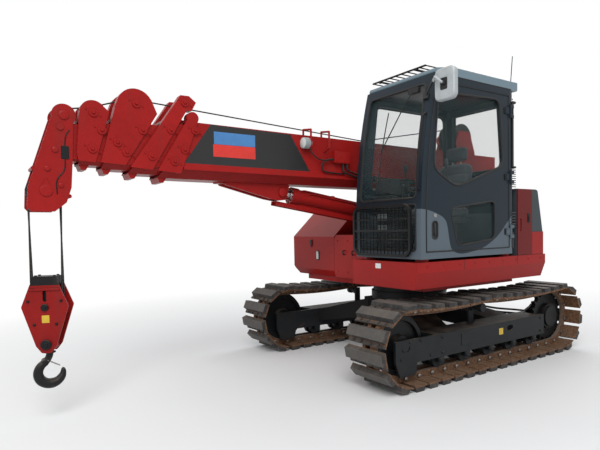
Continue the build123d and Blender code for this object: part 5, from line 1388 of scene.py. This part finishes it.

# %% [markdown]
# ## Hook block and hook
#
# The hook is forged: it swells where the load pulls and tapers to a blunt tip. Its middle
# line is a straight shank, a short neck and most of a circle. The radius along that line
# is read from a short table, so the surface stays smooth where the solid has flats. A
# spring latch closes its mouth: a flat strip hinged on the neck, its end resting inside
# the tip.

# %% Hook and latch
BLOCK_AT = np.array((3.450, 0.0, 0.0))
BOWL_Z, BOWL_R = 0.345, 0.078
arc = np.radians(np.linspace(70, -196, 44))
bowl = at(BOWL_R * np.cos(arc), 0.0, BOWL_Z + BOWL_R * np.sin(arc))
line = np.vstack([bent(((0, 0, 0.585), (0, 0, 0.462), bowl[1]), 0.035, 7)[:-1], bowl[1:]])
gone = np.concatenate([[0], np.cumsum(np.linalg.norm(np.diff(line, axis=0), axis=1))])
# Share of the way from shank to tip, radius there.
TABLE = ((0.00, 0.0220), (0.26, 0.0225), (0.34, 0.0250), (0.42, 0.0290), (0.60, 0.0345),
         (0.75, 0.0345), (0.88, 0.0260), (0.96, 0.0165), (0.985, 0.0125), (1.00, 0.0040))
thick = np.interp(gone / gone[-1], *np.array(TABLE).T)
forging = put("forged_hook", [
    tube(line + BLOCK_AT, thick, 24, ref=LEFT),
    turned(((0.034, 0.587), (0.038, 0.590), (0.038, 0.607), (0.034, 0.610)), BLOCK_AT, UP, 6),
    turned(((0.026, 0.4800), (0.036, 0.4830), (0.036, 0.4900), (0.026, 0.4912)), BLOCK_AT, UP,
           28),
    turned(((0.014, -0.034), (0.018, -0.031), (0.018, 0.031), (0.014, 0.034)),
           BLOCK_AT + (0.036, 0, 0.426), LEFT, 20)], hook_steel, "hook")
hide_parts("hook")

hinge, rest_at = np.array(((0.020, 0.432), (-0.058, 0.384)))
away = unit(rest_at - hinge)
square = np.array((-away[1], away[0])) * 0.0035
strip, strip_faces = slab((hinge + square, rest_at + square, rest_at - square, hinge - square),
                          "y", (-0.011, 0.011), 0.001)
put("hook_latch", [(strip + BLOCK_AT, strip_faces),
                   turned(((0.006, -0.024), (0.006, 0.024)), BLOCK_AT + (0.020, 0, 0.432),
                          LEFT, 12)], dull_steel, "hook")

# %% Block label, pin nuts and guards
TWIST = math.radians(-26)
SPIN = np.array(((math.cos(TWIST), -math.sin(TWIST), 0), (math.sin(TWIST), math.cos(TWIST), 0),
                 (0, 0, 1)))
BLOCK_Y = 0.062
# Height, radius and how far out past the cheek.
BLOCK_PINS = ((0.806, 0.024, 0.004), (0.551, 0.034, 0.008))
CHEEK_BOLTS = ((0.105, 0.850), (0.070, 0.690), (0.070, 0.930))


def on_block(shapes):
    """Moves shapes drawn about the block's own middle to where the block hangs."""
    points, faces = gather(shapes)
    return points @ SPIN.T + BLOCK_AT, faces


parts, labels, ribs = [], [], []
for side in (-1, 1):
    parts += [turned(((radius, -0.002), (radius, 0.007), (radius * 0.85, 0.010),
                      (radius * 0.45, 0.010), (radius * 0.40, 0.014)),
                     (0, side * (BLOCK_Y + out), height), (0, side, 0))
              for height, radius, out in BLOCK_PINS]
    parts.append(hex_bolts([(way * x, side * BLOCK_Y, z) for x, z in CHEEK_BOLTS
                            for way in (-1, 1)], (0, side, 0), 0.010, 0.009))
    labels.append(plate("y", (-0.026, 0.022), (0.700, 0.752),
                        (side * (BLOCK_Y - 0.001), side * (BLOCK_Y + 0.0014)), 0.004, 0.0004, 3))
    ribs.append(plate("y", (-0.098, 0.098), (0.922, 0.936),
                      (side * (BLOCK_Y - 0.001), side * (BLOCK_Y + 0.010)), 0.005, steps=3))
top_bolts = hex_bolts([(x, y, 1.0175) for x in (-0.060, 0.060) for y in (-0.036, 0.036)], UP,
                      0.010, 0.008)
for name, shapes, finish in (("block_caps", parts, black_steel),
                             ("block_labels", labels, yellow_label),
                             ("block_ribs", ribs, block_red),
                             ("bar_bolts", [top_bolts], black_steel)):
    put(name, on_block(shapes), finish, "hook_block")

# %% [markdown]
# ## House fittings
#
# Pressed covers are held by rows of small bolts, doors by a flush latch, and a hood
# breathes through louvres. Rows come from number ranges, so that a row always ends where
# its sheet ends.

# %% Skirt bolts, seams and plate
skirt_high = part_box("left_skirt")[1]
put("skirt_bolts", hex_bolts(at(np.linspace(-0.700, 0.880, 9), skirt_high.y - 0.001, 0.985),
                             LEFT, 0.008, 0.006), house_red, "upper")
put("skirt_seams", [plate("y", about(x, 0.003), (0.940, 1.018),
                          (skirt_high.y - 0.003, skirt_high.y + 0.0006), 0.001, 0.0005, 2)
                    for x in (-0.325, 0.430)], black_steel, "upper")
put("front_plate", plate("x", (0.610, 0.680), (0.955, 0.998),
                         (skirt_high.x - 0.002, skirt_high.x + 0.0015), 0.004, 0.0004, 3),
    white_label, "upper")

# %% Tool box fittings
box_low, box_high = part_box("tool_box")
seam_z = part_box("tool_box_lid")[0].z


def on_box(y, z, back, out, radius, bevel):
    """A plate on the tool box's front, from a little behind its face to in front of it."""
    return plate("x", y, z, (box_high.x - back, box_high.x + out), radius, bevel)


put("corner_lamp", on_box((-0.649, -0.613), (0.975, 1.060), 0.004, 0.012, 0.006, 0.003),
    lamp_lens, "upper")
put("corner_lamp_bezel", on_box((-0.656, -0.606), (0.968, 1.067), 0.002, 0.006, 0.009, 0.002),
    black_steel, "upper")
put("box_latch", [on_box((-0.770, -0.735), (seam_z - 0.030, seam_z + 0.034), 0.001, 0.011,
                         0.006, 0.002),
                  on_box((-0.762, -0.743), (seam_z - 0.050, seam_z - 0.030), 0.001, 0.008,
                         0.004, 0.0015)], black_steel, "tool_box_lid")
put("box_bolts", hex_bolts([(x, box_low.y + 0.001, z) for x in np.linspace(0.480, 0.700, 4)
                            for z in (0.870, 1.120)], -LEFT, 0.008, 0.006), house_red, "upper")

# %% Hood, weight and service door
HOOD_LOW, HOOD_TOP, HOOD_LOW_R, HOOD_TOP_R = 1.240, 1.650, 1.344, 1.298
z = np.linspace(1.360, 1.540, 5)
hood_r = HOOD_LOW_R + (HOOD_TOP_R - HOOD_LOW_R) * (z - HOOD_LOW) / (HOOD_TOP - HOOD_LOW)
put("hood_louvres", [tube(at(hood_r * math.cos(turn), hood_r * math.sin(turn), z), 0.006, ref=UP)
                     for turn in np.radians(np.linspace(136, 146, 8))], black_steel,
    "engine_hood")
# A black line round the counterweight stands for its groove: painted shade where the groove lies
# in shadow.
groove_r = -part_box("counterweight")[0].x - 0.002
a = np.radians(np.linspace(150, 210, 13))
put("weight_groove_painted_shade", tube(at(groove_r * np.cos(a), groove_r * np.sin(a), 1.010), 0.004, 6,
                          ref=UP), black_steel, "upper")
door_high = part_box("service_door")[1]
latch_x = middle_of("service_door")[0] - 0.060
put("service_latch", [plate("y", about(latch_x, half), z, (door_high.y + near, door_high.y + far),
                            radius, bevel)
                      for half, z, near, far, radius, bevel in (
                          (0.018, (1.330, 1.420), -0.001, 0.006, 0.008, 0.002),
                          (0.010, (1.345, 1.395), 0.004, 0.009, 0.004, 0.0015))],
    black_steel, "service_door")

# %% Hinge straps of the cab door
straps = []
for z in (1.250, 1.750, 2.350):
    bolts = at((-0.162, -0.162, -0.138), SIDE_Y + 0.0065, z + np.array((-0.018, 0.018, 0)))
    straps += [plate("y", (-0.175, -0.125), about(z, 0.030), (SIDE_Y - 0.001, SIDE_Y + 0.007),
                     0.008), hex_bolts(bolts, LEFT, 0.006, 0.005)]
put("door_hinge_straps", straps, black_steel, "cab_door")

# %% [markdown]
# ## Running gear
#
# A track frame carries covers over its roller shafts, a grease plate and the motor's
# hoses. Shoes are bolted to their links, and the bolt heads stand in the open lip of
# every shoe. Shoe places follow the pin line: two half circles and two runs, the upper
# one hanging a little between its supports.

# %% Shoe bolts and link pins
SHOES, LOOP = 39, 4 * AXLE_X + 2 * math.pi * PIN_R
PLATE_TOP, LIP, LINK_OUT = 0.030, 0.0537, 0.072
TRACK_Y = (("left", 0.935), ("right", -0.935))


def along_track(distance):
    """Places on the pin line and the outward and forward arrows there, as whole arrays."""
    straight, half_turn = 2 * AXLE_X, math.pi * PIN_R
    d = np.asarray(distance, float) % LOOP
    first, last = d < straight, (d >= straight + half_turn) & (d < 2 * straight + half_turn)
    rear = ~first & (d < straight + half_turn)
    angle = np.where(rear, math.pi + (d - straight) / PIN_R,
                     (d - 2 * straight - half_turn) / PIN_R)
    x = np.where(first, AXLE_X - d, d - straight - half_turn - AXLE_X)
    near = np.where(x < CARRIER_X, -AXLE_X, CARRIER_X)
    far = np.where(x < CARRIER_X, CARRIER_X, AXLE_X)
    share = (x - near) / (far - near)
    hang = 4 * SAG * share * (1 - share)
    slope = -4 * SAG * (1 - 2 * share) / (far - near)
    angle = np.where(first, math.pi, np.where(last, -np.arctan(slope), angle))
    out = at(np.sin(angle), 0.0, np.cos(angle))
    on = at(np.cos(angle), 0.0, -np.sin(angle))
    centre = at(np.where(first | last, x, np.where(rear, -AXLE_X, AXLE_X)), 0.0,
                AXLE_Z - np.where(last, hang, 0))
    flat = np.where(first, -1.0, 1.0)[:, None] * np.array((0, 0, PIN_R))
    return np.where((first | last)[:, None], centre + flat, centre + out * PIN_R), out, on


place, out, on = along_track((np.arange(SHOES) + 0.5) * LOOP / SHOES)
head, head_faces = turned(((0.011, -0.001), (0.011, 0.011 * 0.7), (0.011 * 0.8, 0.011)),
                          (0, 0, 0), UP, 6)
stood = head[:, :1] * on[:, None] + head[:, 1:2] * LEFT + head[:, 2:] * out[:, None]
for side, middle in TRACK_Y:
    spots = place + out * PLATE_TOP + on * LIP
    put(f"shoe_bolts_{side}", [copied((spots + LEFT * (middle + y))[:, None] + stood, head_faces)
                               for y in (-0.150, -0.060, 0.060, 0.150)],
        track_finish, "undercarriage")
for side, middle in TRACK_Y:
    caps = []
    for y in (-LINK_OUT, LINK_OUT):
        cap, cap_faces = turned(((0.017, -0.002), (0.017, 0.004), (0.012, 0.007),
                                 (0.005, 0.007)), (0, 0, 0), (0, np.sign(y), 0), 12)
        spots = place - on * 0.030 + LEFT * (middle + y)
        caps.append(copied(spots[:, None] + cap, cap_faces))
    put(f"link_pins_{side}", caps, dull_steel, "undercarriage")

# %% Frame covers, labels, motor bolts and hoses
FRAME_OUT, FRAME_IN = 1.060, 0.810
ROLLER_Z, ROLLER_PITCH = 0.177, 0.335
COVER_BOLTS = ((-0.800, 0.370), (-0.800, 0.240), (0.640, 0.370), (0.640, 0.240), (0.900, 0.380),
               (1.020, 0.380), (0.780, 0.240), (1.120, 0.250))
for side, sign in (("left", 1), ("right", -1)):
    outwards, inwards = (0, sign, 0), (0, -sign, 0)
    bits = [turned(((0.026, -0.003), (0.026, 0.006), (0.020, 0.010), (0.010, 0.010)),
                   ((index - 2) * ROLLER_PITCH - 0.020, sign * (FRAME_OUT - 0.001), ROLLER_Z),
                   outwards, 20) for index in range(5)]
    bits.append(hex_bolts([(x, sign * (FRAME_OUT - 0.0005), z) for x, z in COVER_BOLTS],
                          outwards, 0.012, 0.010))
    bits.append(plate("y", (0.200, 0.400), (0.262, 0.372),
                      (sign * (FRAME_OUT - 0.001), sign * (FRAME_OUT + 0.005)), 0.012))
    put(f"frame_covers_{side}", bits, frame_paint, "undercarriage")
    put(f"frame_label_{side}",
        plate("y", (-0.190, -0.130), (0.285, 0.345),
              (sign * (FRAME_OUT - 0.001), sign * (FRAME_OUT + 0.0016)), 0.003, 0.0004, 3),
        yellow_label, "undercarriage")
    a = np.linspace(0, 2 * np.pi, 12, endpoint=False)
    ring = at(-AXLE_X + 0.100 * np.cos(a), sign * (FRAME_IN + 0.0005),
              AXLE_Z + 0.100 * np.sin(a))
    hub = turned(((0.062, -0.004), (0.062, 0.020), (0.050, 0.030), (0.020, 0.032)),
                 (-AXLE_X, sign * FRAME_IN, AXLE_Z), inwards, 28)
    put(f"motor_bolts_{side}", [hex_bolts(ring, inwards, 0.011, 0.009), hub], black_steel,
        "undercarriage")
    put(f"motor_hoses_{side}", [
        hose(((-AXLE_X, sign * (FRAME_IN - 0.024), AXLE_Z + shift),
              (-0.980 + shift, sign * 0.700, AXLE_Z + 0.020 + shift),
              (-0.720 + shift, sign * 0.560, 0.400 + shift),
              (-0.480, sign * 0.400, 0.470 + shift), (-0.300, sign * 0.300, 0.480 + shift)),
             0.11, 0.011, 7) for shift in (-0.022, 0.022)], hose_rubber, "undercarriage")

# %% [markdown]
# ## Ropes between head and block
#
# The falls hang between the body that swings below the head and the block that is
# hoisted, but they stay fixed and ride on neither. They run from the head's sheaves
# to the block's sheaves, which stand turned by the block's own twist.

# %% Falls
falls_low, falls_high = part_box("rope_falls")
FALL_OUT, HEAD_FALL_Y, BLOCK_FALL_Y = 0.0986, 0.034, 0.024
head_x = (head_low.x + head_high.x) / 2
falls = []
for ahead_sign, left_sign in ((-1, -1), (-1, 1), (1, -1), (1, 1)):
    x = ahead_sign * FALL_OUT
    low = SPIN @ (x, left_sign * BLOCK_FALL_Y, 0) + (BLOCK_AT[0], 0, falls_low.z)
    high = (head_x + x, left_sign * HEAD_FALL_Y, falls_high.z)
    falls.append(tube(np.linspace(high, low, 25), ROPE_R, ref=LEFT))
hoist_falls = put("hoist_falls", falls, rope_steel, None)
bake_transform(hoist_falls)
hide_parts("rope_falls")

# %% [markdown]
# ## Inside the cab
#
# The operator sees two displays on a stalk, two levers with rubber boots, pedals and a
# ribbed floor mat. They are small, but they are what shows through the windows.

# %% Displays, levers, mat and pedals
console_low, console_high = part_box("console")
screen_x, screen_y = console_low.x - 0.006, (console_low.y + console_high.y) / 2
SCREENS, BACKS = (1.680, 1.560), (1.300, 1.400)
# Name, finish, heights, half width, half height, span of X, rounding, bevel.
for name, finish, heights, wide, tall, x, radius, bevel in (
        ("cab_displays", plastic, SCREENS, 0.085, 0.050, (screen_x - 0.022, screen_x), 0.008,
         0.003),
        ("display_glass", screen_glow, SCREENS, 0.070, 0.038,
         (screen_x - 0.0235, screen_x - 0.021), 0.004, 0.0006),
        ("console_backs", pale_grey, BACKS, 0.060, 0.030,
         (console_high.x - 0.002, console_high.x + 0.008), 0.006, 0.002)):
    put(name, [plate("x", about(screen_y, wide), about(z, tall), x, radius, bevel)
               for z in heights], finish, "upper")

boots, knobs = [], []
folded = [(0.030 - 0.0035 * fold + 0.003 * (fold % 2), 0.008 * fold) for fold in range(7)]
for y in ARM_PLACES:
    foot = np.array((0.440, y, 1.690))
    boots += [turned(folded, foot, (0.15, 0, 1), 20),
              hose((foot + (0.006, 0, 0.045), foot + (0.018, 0, 0.110),
                    foot + (0.020, 0, 0.150)), 0.02, 0.008)]
    knobs.append(turned(((0.010, -0.030), (0.019, -0.020), (0.021, 0.010), (0.017, 0.035),
                         (0.006, 0.042)), foot + (0.022, 0, 0.170), (0.1, 0, 1), 20))
put("lever_boots", boots, rubber, "upper")
put("lever_knobs", knobs, plastic, "upper")
put("floor_mat", [plate("z", (0.480, 0.900), (0.380, 1.050), (1.0895, 1.097), 0.03, 0.002)]
    + [plate("z", (x, x + 0.010), (0.400, 1.030), (1.096, 1.100), 0.004, 0.001, 2)
       for x in np.linspace(0.500, 0.870, 16)], rubber, "upper")
pedals = []
for y in (0.760, 0.900):
    pedals += [hose(((0.800, y, 1.098), (0.790, y, 1.180), (0.770, y, 1.420)), 0.03, 0.008),
               plate("z", (0.690, 0.790), about(y, 0.036), (1.150, 1.162), 0.012, 0.002)]
put("travel_pedals", pedals, black_steel, "upper")

# %% [markdown]
# ## Small fittings in front
#
# Hoses leave the trough between cab and tool box, loops on the centre panel take the
# lashing for the road, and a gutter runs along the roof over the door.

# %% Trough hoses, loops, panel bolts and roof gutter
panel_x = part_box("centre_panel")[1].x
put("trough_hoses", [hose(((0.560, y, 1.225), (0.570, y, top), (0.420, y * 0.9, top + 0.020),
                           (0.250, y * 0.8, 1.300), (0.220, y * 0.8, 1.180)), 0.07, 0.011, 7)
                     for y, top in ((-0.205, 1.420), (-0.160, 1.460), (0.170, 1.400),
                                    (0.215, 1.440))], hose_rubber, "upper")
LOOP_LINE = ((-0.002, 1.080), (0.022, 1.080), (0.022, 1.040), (-0.002, 1.040))
put("tie_down_loops", [hose([(panel_x + out, y, z) for out, z in LOOP_LINE], 0.010, 0.006)
                       for y in (-0.150, 0.0, 0.150)], black_steel, "upper")
put("panel_bolts", hex_bolts([(panel_x - 0.0005, y, z) for y in (-0.270, -0.100, 0.080, 0.240)
                              for z in (0.860, 1.180)], AHEAD, 0.009, 0.007), house_red,
    "upper")
roof_low, roof_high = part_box("cab_roof")
gutter_x = np.array((roof_low.x + 0.100, roof_high.x - 0.060))
put("roof_gutter", tube(at(gutter_x, roof_high.y - 0.002, EAVES + 0.006), 0.006, ref=LEFT),
    rubber, "upper")
